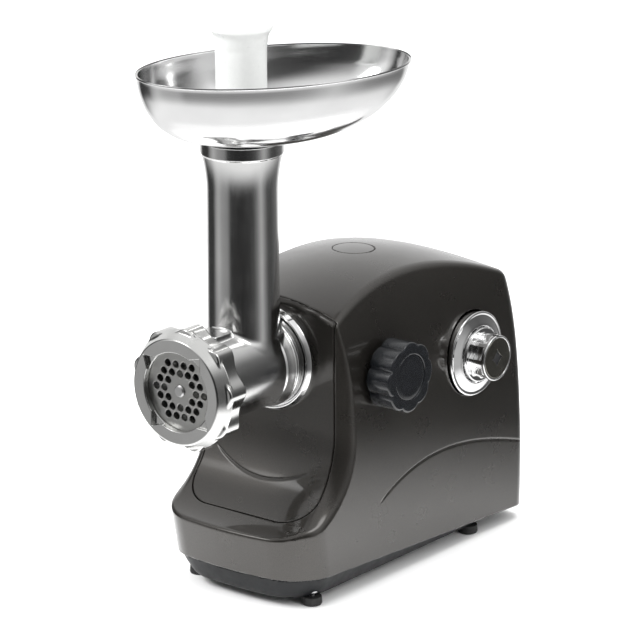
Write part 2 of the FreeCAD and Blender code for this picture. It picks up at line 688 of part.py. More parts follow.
def oval(z, half_length, half_width, shift):
    """An oval wire across Z, its long axis along local X."""
    curve = Part.Ellipse(Vector(shift, 0, z), half_length, half_width)
    return Part.Wire(curve.toShape())


def bowl(inset, rim):
    """The tray's bowl, from its flat floor to its rim."""
    floor_z, top = d.tube_top.value + 1.0 + inset, d.tray_rim_z.value
    length, width, shift = d.tray_half_length.value, d.tray_half_width.value, d.tray_offset.value
    layers = ((0.0, 0.40, 0.50, 0.32), (0.06, 0.56, 0.66, 0.50), (0.20, 0.735, 0.80, 0.68),
              (0.42, 0.87, 0.90, 0.84), (0.70, 0.960, 0.965, 0.95), (1.0, 1.0, 1.0, 1.0))
    wires = []
    for level, long_share, wide_share, shift_share in layers:
        z = floor_z + (top + rim - floor_z) * level
        wires.append(oval(z, length * long_share - inset, width * wide_share - inset, shift * shift_share))
    return Part.makeLoft(wires, True, False)


def tray_shape():
    thickness = d.tray_wall.value
    body = bowl(0.0, 0.0).cut(bowl(thickness, 1.0))
    spout_top = d.tube_top.value + 1.6
    spout = Part.makeCylinder(d.spout_radius.value, 22.0, Vector(0, 0, spout_top - 22.0))
    throat = Part.makeCylinder(d.spout_radius.value - 1.2, 40.0, Vector(0, 0, spout_top - 30.0))
    return body.fuse(spout).cut(throat)


tray = feature("tray", tray_shape())
keep(place(tray, 0, d.tube_y, 0, Rotation(Z_AXIS, d.tray_turn.value)), "meat_tray")

pusher = turned("pusher", "Z", [
    (d.pusher_bottom, 0.0), (d.pusher_bottom, d.pusher_radius - 1.5), (d.pusher_bottom + 1.5, d.pusher_radius),
    (d.pusher_top - 34.0, d.pusher_radius), (d.pusher_top - 17.0, d.pusher_radius + 0.2),
    (d.pusher_top - 9.0, d.pusher_radius + 1.6), (d.pusher_top - 5.5, d.pusher_lip - 1.0),
    (d.pusher_top - 3.0, d.pusher_lip), (d.pusher_top - 1.2, d.pusher_lip - 0.2),
    (d.pusher_top, d.pusher_lip - 2.0), (d.pusher_top, 0.0)])
keep(place(pusher, 0, d.tube_y, 0), "pusher")

# ---------------------------------------------------------------- lock and switch

socket = turned("socket_turned", "Y", [
    (d.face_y + d.wall + 0.3, d.shank_radius + d.running), (d.face_y + d.wall + 0.3, 31.5),
    (-16.0, 31.5), (-16.0, 40.0), (-10.2, 40.0), (-10.2, 26.0), (-11.6, 26.0),
    (-11.6, d.shank_radius + d.running)])
boss = cylinder("lock_boss", 10.0, 16.0, 24.0, d.lock_y, d.lock_z - d.axis_height, "X")
boss_clear = cylinder("boss_clear", d.shank_radius + d.running, 60.0, 0, -66, 0, "Y")
screw_clear = cylinder("screw_clear", 7.6, 60.0, 20.0, d.lock_y, d.lock_z - d.axis_height, "X")
POSTS = ((-42.0, -128.0), (40.0, -128.0), (-40.0, -2.0), (34.0, 12.0))
bolt_clear = [cylinder("bolt_clear", 4.9, 8.0, x, -17.0, z, "Y") for x, z in POSTS[2:]]
socket_body = cut("socket_body", joined("socket_solid", [socket, boss]), [boss_clear, screw_clear] + bolt_clear)
keep(place(socket_body, 0, 0, d.axis_height), "head_socket")

guide = turned("lock_guide", "X", [(31.5, d.lock_screw_radius + d.running), (31.5, 7.5), (40.2, 7.5),
                                   (40.2, 9.5), (44.0, 9.5), (44.0, d.lock_screw_radius + d.running)])
keep(place(guide, 0, d.lock_y, d.lock_z), "lock_guide_bush")

screw = turned("lock_screw", "X", [(26.6, 0.0), (26.6, 3.2), (28.6, d.lock_screw_radius),
                                   (69.0, d.lock_screw_radius), (69.0, 3.5), (76.0, 3.5), (76.0, 0.0)])
keep(place(screw, 0, d.lock_y, d.lock_z), "lock_screw")


def lock_knob_shape():
    back, face = 66.0, d.lock_knob_face.value
    wire = lobed_wire(8, d.lock_knob_radius.value - 1.5, 1.5, 0, 0)
    body = Part.Face(wire).extrude(Vector(0, face - back, 0))
    body.rotate(Vector(0, 0, 0), Z_AXIS, -90)
    body.translate(Vector(back, 0, 0))
    dome = Part.makeCone(d.lock_knob_radius.value + 6, d.lock_knob_radius.value - 2.6, 8.0, Vector(face - 8, 0, 0), X_AXIS)
    base = Part.makeCylinder(d.lock_knob_radius.value + 6, face - 8 - back, Vector(back, 0, 0), X_AXIS)
    body = body.common(dome.fuse(base))
    body = body.cut(Part.makeCylinder(16.2, 1.6, Vector(face - 1.6, 0, 0), X_AXIS))
    body = body.cut(Part.makeCylinder(d.lock_screw_radius.value + 0.05, 3.2, Vector(back - 0.1, 0, 0), X_AXIS))
    return body.cut(Part.makeCylinder(3.55, 10.2, Vector(back, 0, 0), X_AXIS))


keep(place(feature("lock_knob", lock_knob_shape()), 0, d.lock_y, d.lock_z), "lock_knob")
cap = cylinder("lock_cap", 15.8, 1.4, d.lock_knob_face - 1.5, d.lock_y, d.lock_z, "X", local=False)
keep(cap, "lock_knob_cap")

dish = turned("switch_escutcheon", "X", [
    (60.0, 14.6), (60.0, d.switch_dish - 0.4), (65.6, d.switch_dish - 0.4), (66.6, d.switch_dish),
    (67.4, d.switch_dish - 0.6), (67.6, d.switch_dish - 1.8), (69.2, 24.0), (69.8, 20.6),
    (68.4, 20.2), (67.0, 14.6)])
keep(place(dish, 0, d.switch_y, d.switch_z), "switch_escutcheon")

switch_base = turned("switch_skirt", "X", [
    (68.9, 0.0), (68.9, 19.2), (70.2, 19.6), (71.8, 19.0), (72.6, 17.0), (72.6, 0.0)])


def switch_grip_shape():
    wire = lobed_wire(8, d.switch_knob_radius.value - 1.0, 0.7, 0, math.radians(22.5))
    body = Part.Face(wire).extrude(Vector(0, d.switch_face.value - 72.0, 0))
    body.rotate(Vector(0, 0, 0), Z_AXIS, -90)
    body.translate(Vector(72.0, 0, 0))
    body = body.common(Part.makeCylinder(30.0, 12.0, Vector(70.0, 0, 0), X_AXIS))
    rim = Part.makeCylinder(d.switch_knob_radius.value, d.switch_face.value - 81.4, Vector(81.4, 0, 0), X_AXIS)
    recess = Part.makeCylinder(14.6, 5.0, Vector(d.switch_face.value - 1.6, 0, 0), X_AXIS)
    return body.fuse(rim.cut(recess))


grip = feature("switch_grip", switch_grip_shape())
pointer = box("switch_pointer", 3.0, 2.4, 2.2, 81.4, -1.2, d.switch_knob_radius - 0.8)
stem_bore = cylinder("switch_stem_bore", 3.05, 9.0, 66.0, 0, 0, "X")
switch_knob = cut("switch_knob", joined("switch_knob_solid", [switch_base, grip, pointer]), [stem_bore])
keep(place(switch_knob, 0, d.switch_y, d.switch_z), "switch_knob")


def star_cap_shape():
    """The cap disc with its four-pointed recess."""
    disc = Part.makeCylinder(14.4, 1.3, Vector(d.switch_face.value - 1.5, 0, 0), X_AXIS)
    points = []
    for i in range(8):
        radius = 6.2 if i % 2 == 0 else 3.0
        angle = math.radians(45 * i)
        points.append(Vector(d.switch_face.value - 0.9, radius * math.cos(angle), radius * math.sin(angle)))
    return disc.cut(polygon_face(points).extrude(Vector(3, 0, 0)))


keep(place(feature("star_cap", star_cap_shape()), 0, d.switch_y, d.switch_z), "switch_knob_cap")
stem = cylinder("switch_stem", 3.0, 12.0, 62.8, d.switch_y, d.switch_z, "X", local=False)
keep(stem, "switch_stem")
switch_block = joined("switch_block", [
    box("switch_case", 22.0, 32.0, 34.0, 37.0, d.switch_y - 16.0, d.switch_z - 17.0),
    cylinder("switch_neck", 7.0, 3.5, 59.0, d.switch_y, d.switch_z, "X")])
tabs = [box("switch_tab", 8.0, 0.8, 6.0, 30.0, d.switch_y - 10.0 + 10.0 * i, d.switch_z - 3.0) for i in range(3)]
keep(place(joined("switch_all", [switch_block] + tabs)), "rotary_switch")

# ---------------------------------------------------------------- gear train

AXIS_B = (-24.0, -32.0)
AXIS_A = (-3.0, -60.0)
AXIS_M = (18.6, -88.8)


def involute(angle):
    return math.tan(angle) - angle


def gear_face(teeth, y, phase):
    """A stub-tooth involute gear across Y; a tooth points along the phase angle (from +X to +Z)."""
    module = d.gear_module.value
    pitch = module * teeth / 2
    base = pitch * math.cos(math.radians(20))
    tip, root = pitch + 0.7 * module, pitch - 0.95 * module
    half = math.pi / (2 * teeth) - 0.075 * module / pitch

    def spread(radius):
        if radius <= base:
            return half + involute(math.radians(20))
        return half + involute(math.radians(20)) - involute(math.acos(base / radius))

    radii = [max(root, base)] + [max(root, base) + (tip - max(root, base)) * k / 4 for k in range(1, 5)]
    points = []
    for tooth in range(teeth):
        middle = phase + 2 * math.pi * tooth / teeth
        flank = [(root, spread(radii[0]))] if root < base else []
        flank += [(radius, spread(radius)) for radius in radii]
        outline = [(radius, middle - side) for radius, side in flank]
        outline += [(radius, middle + side) for radius, side in reversed(flank)]
        points += [Vector(radius * math.cos(a), y, radius * math.sin(a)) for radius, a in outline]
    return polygon_face(points)


def gear(teeth, y, width, phase=0.0):
    return gear_face(int(teeth.value), y, phase).extrude(Vector(0, width, 0))


def mesh_phase(driver_phase, driver_teeth, driven_teeth, driver_axis, driven_axis):
    """Phase of the driven gear, so that one of its gaps faces a driver's tooth."""
    line = math.atan2(driven_axis[1] - driver_axis[1], driven_axis[0] - driver_axis[0])
    step = 2 * math.pi / driver_teeth.value
    offset = (driver_phase - line) / step
    fraction = offset - math.floor(offset)
    driven_step = 2 * math.pi / driven_teeth.value
    return line + math.pi + (0.5 - fraction) * driven_step


phase_pinion_b = mesh_phase(0.0, d.output_teeth, d.pinion_b_teeth, (0.0, 0.0), AXIS_B)
phase_pinion_a = mesh_phase(0.0, d.wheel_b_teeth, d.pinion_a_teeth, AXIS_B, AXIS_A)
phase_motor = mesh_phase(0.0, d.wheel_a_teeth, d.motor_teeth, AXIS_A, AXIS_M)


def at_axis(axis):
    return axis[0], 0.0, d.axis_height + axis[1]


def output_gear_shape():
    blank = gear(d.output_teeth, 4.0, 12.0)
    blank = blank.cut(Part.makeCylinder(12.0, 30, Vector(0, -5, 0), Y_AXIS))
    web = Part.makeCylinder(28.0, 3.0, Vector(0, 3, 0), Y_AXIS).cut(Part.makeCylinder(15.0, 8, Vector(0, 2, 0), Y_AXIS))
    return blank.cut(web)


keep(place(feature("output_gear", output_gear_shape()), *at_axis((0.0, 0.0))), "output_gear")
out_shaft = turned("spindle_turned", "Y", [
    (-8.0, 0.0), (-8.0, d.output_shaft), (16.0, d.output_shaft), (16.0, 6.0), (36.6, 6.0), (36.6, 0.0)])
tang_hole = box("tang_hole", d.tang_half * 2 + 0.5, 12.0, d.tang_half * 2 + 0.5,
                -d.tang_half - 0.25, -8.5, -d.tang_half - 0.25)
keep(place(cut("output_spindle", out_shaft, [tang_hole]), *at_axis((0.0, 0.0))), "output_shaft")


def compound_gear(pinion_teeth, pinion_y, pinion_width, pinion_phase, wheel_teeth, wheel_y, wheel_width):
    pinion = gear(pinion_teeth, pinion_y, pinion_width, pinion_phase)
    wheel = gear(wheel_teeth, wheel_y, wheel_width)
    bore_tool = Part.makeCylinder(d.gear_pin.value + d.running.value, 60, Vector(0, pinion_y - 5, 0), Y_AXIS)
    return pinion.fuse(wheel).cut(bore_tool)


gear_b = compound_gear(d.pinion_b_teeth, 3.0, 15.0, phase_pinion_b, d.wheel_b_teeth, 18.0, 7.0)
keep(place(feature("gear_b", gear_b), *at_axis(AXIS_B)), "second_reduction_gear")
gear_a = compound_gear(d.pinion_a_teeth, 17.4, 9.0, phase_pinion_a, d.wheel_a_teeth, 26.4, 4.8)
keep(place(feature("gear_a", gear_a), *at_axis(AXIS_A)), "first_reduction_gear")


def plate_outline(grow):
    """Gearbox side plate across Y, wide enough for every shaft and standing on the base."""
    height = d.axis_height.value
    points = [(-50, 9.3), (50, 9.3), (50, 16), (46, 60), (46, 100), (38, 150), (38, 178), (26, 196),
              (-26, 196), (-40, 178), (-48, 140), (-46, 60), (-50, 16)]
    return [Vector(x + math.copysign(grow, x), 0, z - height) for x, z in points]


def gearbox_plate(y, thickness, holes):
    body = polygon_face(plate_outline(0.0)).extrude(Vector(0, thickness, 0))
    body.translate(Vector(0, y, 0))
    for (x, z), radius in holes:
        body = body.cut(Part.makeCylinder(radius, 40, Vector(x, y - 10, z), Y_AXIS))
    return body


gear_pin = d.gear_pin.value
post_holes = [(post, 2.55) for post in POSTS]
front_holes = [((0.0, 0.0), 15.05), (AXIS_B, gear_pin), (AXIS_A, gear_pin)] + post_holes
rear_holes = [((0.0, 0.0), 8.05), (AXIS_B, gear_pin), (AXIS_A, gear_pin), (AXIS_M, 9.0)] + post_holes
keep(place(feature("front_plate", gearbox_plate(-10.0, 6.0, front_holes)), 0, 0, d.axis_height), "gearbox_front_plate")
keep(place(feature("rear_plate", gearbox_plate(32.0, 5.0, rear_holes)), 0, 0, d.axis_height), "gearbox_rear_plate")

post_solids = []
for x, z in POSTS:
    post_solids.append(cylinder("post_tube", 3.0, 35.8, x, -3.9, z, "Y"))
keep(place(joined("posts", post_solids), 0, 0, d.axis_height), "gearbox_spacers")
bolts = []
for x, z in POSTS:
    bolts.append(cylinder("bolt_head", 4.5, 3.0, x, -13.1, z, "Y"))
    bolts.append(cylinder("bolt_nut", 4.5, 3.0, x, 37.1, z, "Y"))
keep(place(joined("bolts", bolts), 0, 0, d.axis_height), "gearbox_bolts")

pins = [cylinder("gear_pin_b", d.gear_pin, 46.8, AXIS_B[0], -9.9, AXIS_B[1], "Y"),
        cylinder("gear_pin_a", d.gear_pin, 46.8, AXIS_A[0], -9.9, AXIS_A[1], "Y")]
keep(place(joined("pins", pins), 0, 0, d.axis_height), "gear_pins")

bush = turned("output_bush", "Y", [(-9.9, 12.05), (-9.9, 15.0), (3.0, 15.0), (3.0, 12.05)])
keep(place(bush, 0, 0, d.axis_height), "output_bush")
rear_bush = turned("output_rear_bush", "Y", [(31.0, 6.05), (31.0, 8.0), (37.0, 8.0), (37.0, 6.05)])
keep(place(rear_bush, 0, 0, d.axis_height), "output_rear_bush")

# ---------------------------------------------------------------- motor

motor_at = at_axis(AXIS_M)
keep(cylinder("rotor_shaft", d.motor_shaft, 98.0, AXIS_M[0], 25.4, d.axis_height + AXIS_M[1], "Y", False),
     "motor_shaft")
pinion_m = gear(d.motor_teeth, 25.5, 6.2, phase_motor).cut(
    Part.makeCylinder(d.motor_shaft.value, 20, Vector(0, 20, 0), Y_AXIS))
keep(place(feature("pinion_m", pinion_m), *motor_at), "motor_pinion")


def armature_shape():
    core = Part.makeCylinder(d.rotor_radius.value, 40.0, Vector(0, 52, 0), Y_AXIS)
    slots = []
    for i in range(12):
        slot = Part.makeBox(2.2, 42, 8, Vector(-1.1, 51, d.rotor_radius.value - 7))
        slot.rotate(Vector(0, 0, 0), Y_AXIS, 30 * i)
        slots.append(slot)
    core = core.cut(slots[0].multiFuse(slots[1:]))
    windings = Part.makeCylinder(16.0, 50.0, Vector(0, 47, 0), Y_AXIS)
    return core.fuse(windings).cut(Part.makeCylinder(d.motor_shaft.value, 80, Vector(0, 40, 0), Y_AXIS))


keep(place(feature("armature", armature_shape()), *motor_at), "armature")
commutator = turned("commutator", "Y", [(98.0, d.motor_shaft), (98.0, 11.0), (110.0, 11.0), (110.0, d.motor_shaft)])
keep(place(commutator, *motor_at), "commutator")


def fan_shape():
    hub_part = Part.makeCylinder(9.0, 5.0, Vector(0, 118, 0), Y_AXIS)
    disc = Part.makeCylinder(29.0, 1.2, Vector(0, 118, 0), Y_AXIS)
    vanes = []
    for i in range(10):
        vane = Part.makeBox(1.4, 5.0, 20, Vector(-0.7, 118, 8))
        vane.rotate(Vector(0, 0, 0), Y_AXIS, 36 * i)
        vanes.append(vane)
    return hub_part.multiFuse([disc] + vanes).cut(
        Part.makeCylinder(d.motor_shaft.value, 20, Vector(0, 112, 0), Y_AXIS))


keep(place(feature("fan", fan_shape()), *motor_at), "cooling_fan")


def stator_shape():
    body = Part.makeCylinder(d.stator_radius.value, 38.0, Vector(0, 53, 0), Y_AXIS)
    body = body.cut(Part.makeCylinder(d.rotor_radius.value + 0.6, 60, Vector(0, 40, 0), Y_AXIS))
    for side in (-1, 1):
        pocket = Part.makeBox(8.0, 60, 26, Vector(side * 26 - 4, 40, -13))
        body = body.cut(pocket)
    return body


keep(place(feature("stator", stator_shape()), *motor_at), "motor_stator")


def coil_shape():
    coils = []
    for side in (-1, 1):
        loop = Part.makeBox(7.4, 50, 25, Vector(side * 26 - 3.7, 47, -12.5))
        gap_box = Part.makeBox(9, 38.4, 15, Vector(side * 26 - 4.5, 52.8, -7.5))
        coils.append(loop.cut(gap_box))
    return coils[0].fuse(coils[1])


keep(place(feature("coils", coil_shape()), *motor_at), "field_coils")


def motor_bracket(y, facing, bearing_radius):
    """An end bracket: disc with windows, bearing seat and four lugs to the stator."""
    disc = Part.makeCylinder(d.stator_radius.value, 3.0, Vector(0, y, 0), Y_AXIS)
    for i in range(4):
        window = Part.makeCylinder(6.5, 10, Vector(0, y - 3, 21), Y_AXIS)
        window.rotate(Vector(0, 0, 0), Y_AXIS, 45 + 90 * i)
        disc = disc.cut(window)
    lugs = []
    low = y + 3.0 if facing > 0 else 91.1
    length = 52.9 - low if facing > 0 else y - low
    for i in range(4):
        lug = Part.makeBox(10, length, 3.2, Vector(-5, low, d.stator_radius.value - 4.0))
        lug.rotate(Vector(0, 0, 0), Y_AXIS, 90 * i)
        lugs.append(lug)
    return disc.multiFuse(lugs).cut(Part.makeCylinder(bearing_radius, 20, Vector(0, y - 5, 0), Y_AXIS))


keep(place(feature("bracket_f", motor_bracket(40.2, 1, 8.0)), *motor_at), "motor_front_bracket")
keep(place(feature("bracket_r", motor_bracket(112.0, -1, 8.0)), *motor_at), "motor_rear_bracket")
bearings = []
for y in (39.6, 111.4):
    race = cylinder("bearing_race", 8.0, 4.2, 0, y, 0, "Y")
    hole = cylinder("bearing_hole", d.motor_shaft + d.running, 4.2, 0, y, 0, "Y")
    bearings.append(cut("bearing", race, [hole]))
keep(place(joined("bearings", bearings), *motor_at), "motor_bearings")

brushes = []
for side in (-1, 1):
    start = 11.3 if side > 0 else -24.3
    brushes.append(box("brush", 13.0, 6.0, 5.0, start, 101.0, -2.5))
keep(place(joined("brushes_all", brushes), *motor_at), "carbon_brushes")
holders = []
for side in (-1, 1):
    start = 14.0 if side > 0 else -31.6
    case = box("brush_case", 17.6, 8.4, 8.0, start, 99.8, -4.0)
    holders.append(cut("brush_holder", case, [box("brush_slot", 60.0, 6.1, 5.1, -30.0, 100.95, -2.55)]))
keep(place(joined("holders_all", holders), *motor_at), "brush_holders")

cradle_block = box("cradle_block", 64.0, 22.0, 36.0, AXIS_M[0] - 32.0, 61.0, 9.3)
cradle_seat = cylinder("cradle_seat", d.stator_radius + 0.1, 40.0, AXIS_M[0], 50.0,
                       d.axis_height + AXIS_M[1], "Y")
keep(place(cut("cradle", cradle_block, [cradle_seat])), "motor_cradle")

keep(box("capacitor_body", 12.0, 26.0, 18.0, -52.0, 62.0, 110.0, False), "suppression_capacitor")
gland = turned("inlet_bush", "Y", [
    (138.0, 4.2), (138.0, 8.9), (146.9, 8.9), (146.9, 11.5), (149.6, 10.6), (149.6, 4.2)])
keep(place(gland, -30, 0, 34), "cord_inlet_bush")

# ---------------------------------------------------------------- check and write

doc.recompute()
failed = [item.Name for item in doc.Objects if "Invalid" in item.State or "Error" in item.State]
for item in parts:
    shape = item.Shape
    if shape.isNull() or not shape.isValid() or not shape.Solids:
        failed.append(item.Label)
if failed:
    raise RuntimeError("failed objects: " + ", ".join(failed))

os.makedirs("parts", exist_ok=True)
extent = FreeCAD.BoundBox()
for item in parts:
    item.Shape.exportStep("parts/%s.step" % item.Label)
    extent.add(item.Shape.optimalBoundingBox())
    print("%-24s solids %2d volume %9.0f" % (item.Label, len(item.Shape.Solids), item.Shape.Volume))
print(len(parts), "sub-parts, box", extent)
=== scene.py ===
import math

import bmesh
import bpy
import numpy as np
from mathutils import Matrix, Vector


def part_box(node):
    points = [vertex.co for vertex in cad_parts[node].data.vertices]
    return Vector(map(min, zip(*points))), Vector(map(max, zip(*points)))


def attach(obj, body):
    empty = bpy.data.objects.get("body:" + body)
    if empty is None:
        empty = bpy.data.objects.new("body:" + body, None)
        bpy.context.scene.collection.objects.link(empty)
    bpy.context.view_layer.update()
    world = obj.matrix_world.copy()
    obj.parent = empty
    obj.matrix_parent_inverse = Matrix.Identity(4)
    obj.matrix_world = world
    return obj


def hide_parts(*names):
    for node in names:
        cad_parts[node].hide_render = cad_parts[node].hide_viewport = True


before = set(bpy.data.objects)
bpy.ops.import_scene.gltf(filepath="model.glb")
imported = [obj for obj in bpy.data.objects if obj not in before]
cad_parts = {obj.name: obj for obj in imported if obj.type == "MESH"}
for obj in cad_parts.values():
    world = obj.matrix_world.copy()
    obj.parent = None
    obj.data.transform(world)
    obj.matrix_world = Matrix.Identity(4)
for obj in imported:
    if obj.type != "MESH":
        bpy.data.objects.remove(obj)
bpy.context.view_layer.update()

# Pieces are drawn in the machine's own millimetres: x = 0 and z = 163 on the worm's axis,
# y = -165 on the plate's face, z = 0 on the table. SHIFT takes them to the row frame.
HEAD_Z = 163.0
PLATE_Y = -165.0
TUBE_Y = -97.5
BADGE_Y = 23.0
BADGE_HOLE, BADGE_RADIUS = 14.9, 14.5
LOCK_Y, LOCK_Z = -24.0, 153.0
SWITCH_Y, SWITCH_Z = 78.0, 141.0
SWITCH_HOLE = 30.6
INLET_X, INLET_Z = -30.0, 34.0
VENT_Z = 83.0
plate_low, plate_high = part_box("cutting_plate")
SHIFT = np.array([(plate_low.x + plate_high.x) * 500.0, plate_low.y * 1000.0 - PLATE_Y, 0.0])


def row(points):
    """Machine millimetres to row-frame metres."""
    return (np.asarray(points, float) + SHIFT) / 1000.0


# ---------------------------------------------------------------- meshes from fields

def round_and(a, b, radius):
    """The overlap of two solids, with the edge between them rounded."""
    corner = np.sqrt(np.maximum(a + radius, 0) ** 2 + np.maximum(b + radius, 0) ** 2)
    return np.minimum(np.maximum(a, b), -radius) + corner


def round_or(a, b, radius):
    """The union of two solids, with a fillet between them."""
    return -round_and(-a, -b, radius)


def less(a, b, radius):
    """Solid a with b taken out, and the edge rounded."""
    return round_and(a, -b, radius)


def gradient(field, p, eps=0.02):
    """The field's slope at each point, along x, y and z."""
    parts = []
    for axis in range(3):
        ahead, behind = p.copy(), p.copy()
        ahead[:, axis] += eps
        behind[:, axis] -= eps
        parts.append((field(*ahead.T) - field(*behind.T)) / (2 * eps))
    return np.stack(parts, 1)


def settle(field, points, reach, rounds=4):
    """Moves points onto the field's surface."""
    for _ in range(rounds):
        slope = gradient(field, points)
        steep = np.maximum((slope ** 2).sum(1), 1e-3)
        move = (field(*points.T) / steep)[:, None] * slope
        length = np.linalg.norm(move, axis=1, keepdims=True)
        points = points - move * np.minimum(1.0, reach / np.maximum(length, 1e-9))
    return points


def surface_net(field, low, high, step):
    """Vertices and quads of the surface where the field is zero, in a box of the machine frame."""
    axes = [np.arange(a - 1.5 * step, b + 2.5 * step, step) for a, b in zip(low, high)]
    shape = tuple(len(a) for a in axes)
    values = np.empty(shape, np.float32)
    slab = 6
    for i in range(0, shape[0], slab):
        x = axes[0][i:i + slab][:, None, None]
        values[i:i + slab] = field(x, axes[1][None, :, None], axes[2][None, None, :])
    inside = values < 0
    all_cells, all_points, all_flips = [], [], []
    for a in range(3):
        first = np.take(inside, range(shape[a] - 1), axis=a)
        second = np.take(inside, range(1, shape[a]), axis=a)
        start = np.argwhere(first != second)
        end = start.copy()
        end[:, a] += 1
        v0, v1 = values[tuple(start.T)], values[tuple(end.T)]
        points = start.astype(float)
        points[:, a] += v0 / (v0 - v1)
        b, c = (a + 1) % 3, (a + 2) % 3
        cells = []
        for db, dc in ((0, 0), (-1, 0), (-1, -1), (0, -1)):
            cell = start.copy()
            cell[:, b] += db
            cell[:, c] += dc
            cells.append(np.ravel_multi_index(tuple(cell.T), shape))
        all_cells.append(np.stack(cells, 1))
        all_points.append(points)
        all_flips.append(v0 > 0)
    cells, points = np.concatenate(all_cells), np.concatenate(all_points)
    flips = np.concatenate(all_flips)
    used, index = np.unique(cells.ravel(), return_inverse=True)
    index = index.reshape(cells.shape)
    count = np.bincount(index.ravel(), minlength=len(used))
    verts = np.empty((len(used), 3))
    for k in range(3):
        weights = np.repeat(points[:, k], 4)
        verts[:, k] = np.bincount(index.ravel(), weights=weights, minlength=len(used)) / count
        verts[:, k] = axes[k][0] + verts[:, k] * step
    faces = np.where(flips[:, None], index[:, ::-1], index)
    return settle(field, verts, step), faces


def new_mesh(name, verts, faces):
    """A mesh object from arrays of row-frame vertices and quads."""
    mesh = bpy.data.meshes.new(name)
    faces = np.asarray(faces, dtype=np.int32)
    mesh.vertices.add(len(verts))
    mesh.vertices.foreach_set("co", np.asarray(verts, np.float32).ravel())
    mesh.loops.add(faces.size)
    mesh.loops.foreach_set("vertex_index", faces.ravel())
    mesh.polygons.add(len(faces))
    mesh.polygons.foreach_set("loop_start", np.arange(0, faces.size, faces.shape[1], dtype=np.int32))
    mesh.update(calc_edges=True)
    mesh.validate()
    piece = bpy.data.objects.new(name, mesh)
    bpy.context.scene.collection.objects.link(piece)
    mesh.polygons.foreach_set("use_smooth", [True] * len(mesh.polygons))
    return piece


def refine(piece, mask):
    """Divides the faces whose centre the mask picks. The mask takes machine x, y, z."""
    bm = bmesh.new()
    bm.from_mesh(piece.data)
    centres = np.array([f.calc_center_median() for f in bm.faces]) * 1000.0 - SHIFT
    chosen = mask(*centres.T)
    edges = {e for f, pick in zip(bm.faces, chosen) if pick for e in f.edges}
    bmesh.ops.subdivide_edges(bm, edges=list(edges), cuts=1, use_grid_fill=True)
    ngons = [f for f in bm.faces if len(f.verts) > 4]
    bmesh.ops.triangulate(bm, faces=ngons)
    bm.to_mesh(piece.data)
    bm.free()


def sculpt(name, field, low, high, step, fine=None):
    """A piece whose surface is where the field is zero, with its normals from the field."""
    verts, faces = surface_net(field, low, high, step)
    piece = new_mesh(name, row(verts), faces)
    mesh = piece.data
    if fine is not None:
        refine(piece, fine)
        mesh.polygons.foreach_set("use_smooth", [True] * len(mesh.polygons))
    flat = np.empty(len(mesh.vertices) * 3)
    mesh.vertices.foreach_get("co", flat)
    points = settle(field, flat.reshape(-1, 3) * 1000.0 - SHIFT, step, 3)
    mesh.vertices.foreach_set("co", row(points).ravel())
    slope = gradient(field, points, 0.05)
    slope /= np.maximum(np.linalg.norm(slope, axis=1, keepdims=True), 1e-9)
    mesh.update()
    mesh.normals_split_custom_set_from_vertices([tuple(n) for n in slope])
    return piece


# ---------------------------------------------------------------- turned pieces

def filleted(points, segments=6):
    """A profile with its corners rounded. Points are (along, radius, corner radius)."""
    result = []
    count = len(points)
    for i, (u, v, r) in enumerate(points):
        here = np.array([u, v], float)
        if r <= 0 or i in (0, count - 1):
            result.append(here)
            continue
        before = np.array(points[i - 1][:2], float) - here
        after = np.array(points[i + 1][:2], float) - here
        lb, la = np.linalg.norm(before), np.linalg.norm(after)
        before, after = before / lb, after / la
        angle = math.acos(max(-1.0, min(1.0, float(before @ after))))
        if angle > math.pi - 0.05:
            result.append(here)
            continue
        cut = min(r / math.tan(angle / 2), 0.48 * lb, 0.48 * la)
        radius = cut * math.tan(angle / 2)
        middle = before + after
        middle = here + middle / np.linalg.norm(middle) * radius / math.sin(angle / 2)
        start, end = here + before * cut - middle, here + after * cut - middle
        a0 = math.atan2(start[1], start[0])
        turn = math.atan2(end[1], end[0]) - a0
        turn = (turn + math.pi) % (2 * math.pi) - math.pi
        for k in range(segments + 1):
            a = a0 + turn * k / segments
            result.append(middle + radius * np.array([math.cos(a), math.sin(a)]))
    return np.array(result)


AXES = {"X": ((1, 0, 0), (0, 1, 0), (0, 0, 1)), "Y": ((0, 1, 0), (0, 0, 1), (1, 0, 0)),
        "Z": ((0, 0, 1), (1, 0, 0), (0, 1, 0))}


def ringed(name, verts, rings, segments, closed, crease):
    """A piece of rings of vertices, one after the other, joined by quads. Creases are in degrees."""
    faces = []
    for i in range(rings if closed else rings - 1):
        for j in range(segments):
            k, m = (j + 1) % segments, (i + 1) % rings
            faces.append((i * segments + j, i * segments + k, m * segments + k, m * segments + j))
    piece = new_mesh(name, row(verts), faces)
    bm = bmesh.new()
    bm.from_mesh(piece.data)
    bmesh.ops.remove_doubles(bm, verts=bm.verts, dist=1e-7)
    bmesh.ops.recalc_face_normals(bm, faces=bm.faces)
    bm.to_mesh(piece.data)
    bm.free()
    piece.data.polygons.foreach_set("use_smooth", [True] * len(piece.data.polygons))
    piece.data.set_sharp_from_angle(angle=math.radians(crease))
    return piece


def turned(name, axis, centre, profile, segments=128, closed=False):
    """A turned piece. The profile's points are (along the axis, radius, corner radius)."""
    line = filleted(profile)
    along, one, two = [np.array(v, float) for v in AXES[axis]]
    angles = np.arange(segments) * 2 * math.pi / segments
    around = np.cos(angles)[:, None] * one + np.sin(angles)[:, None] * two
    verts = np.asarray(centre, float) + line[:, 0][:, None, None] * along + line[:, 1][:, None, None] * around
    return ringed(name, verts.reshape(-1, 3), len(line), segments, closed, 32)


# ---------------------------------------------------------------- materials

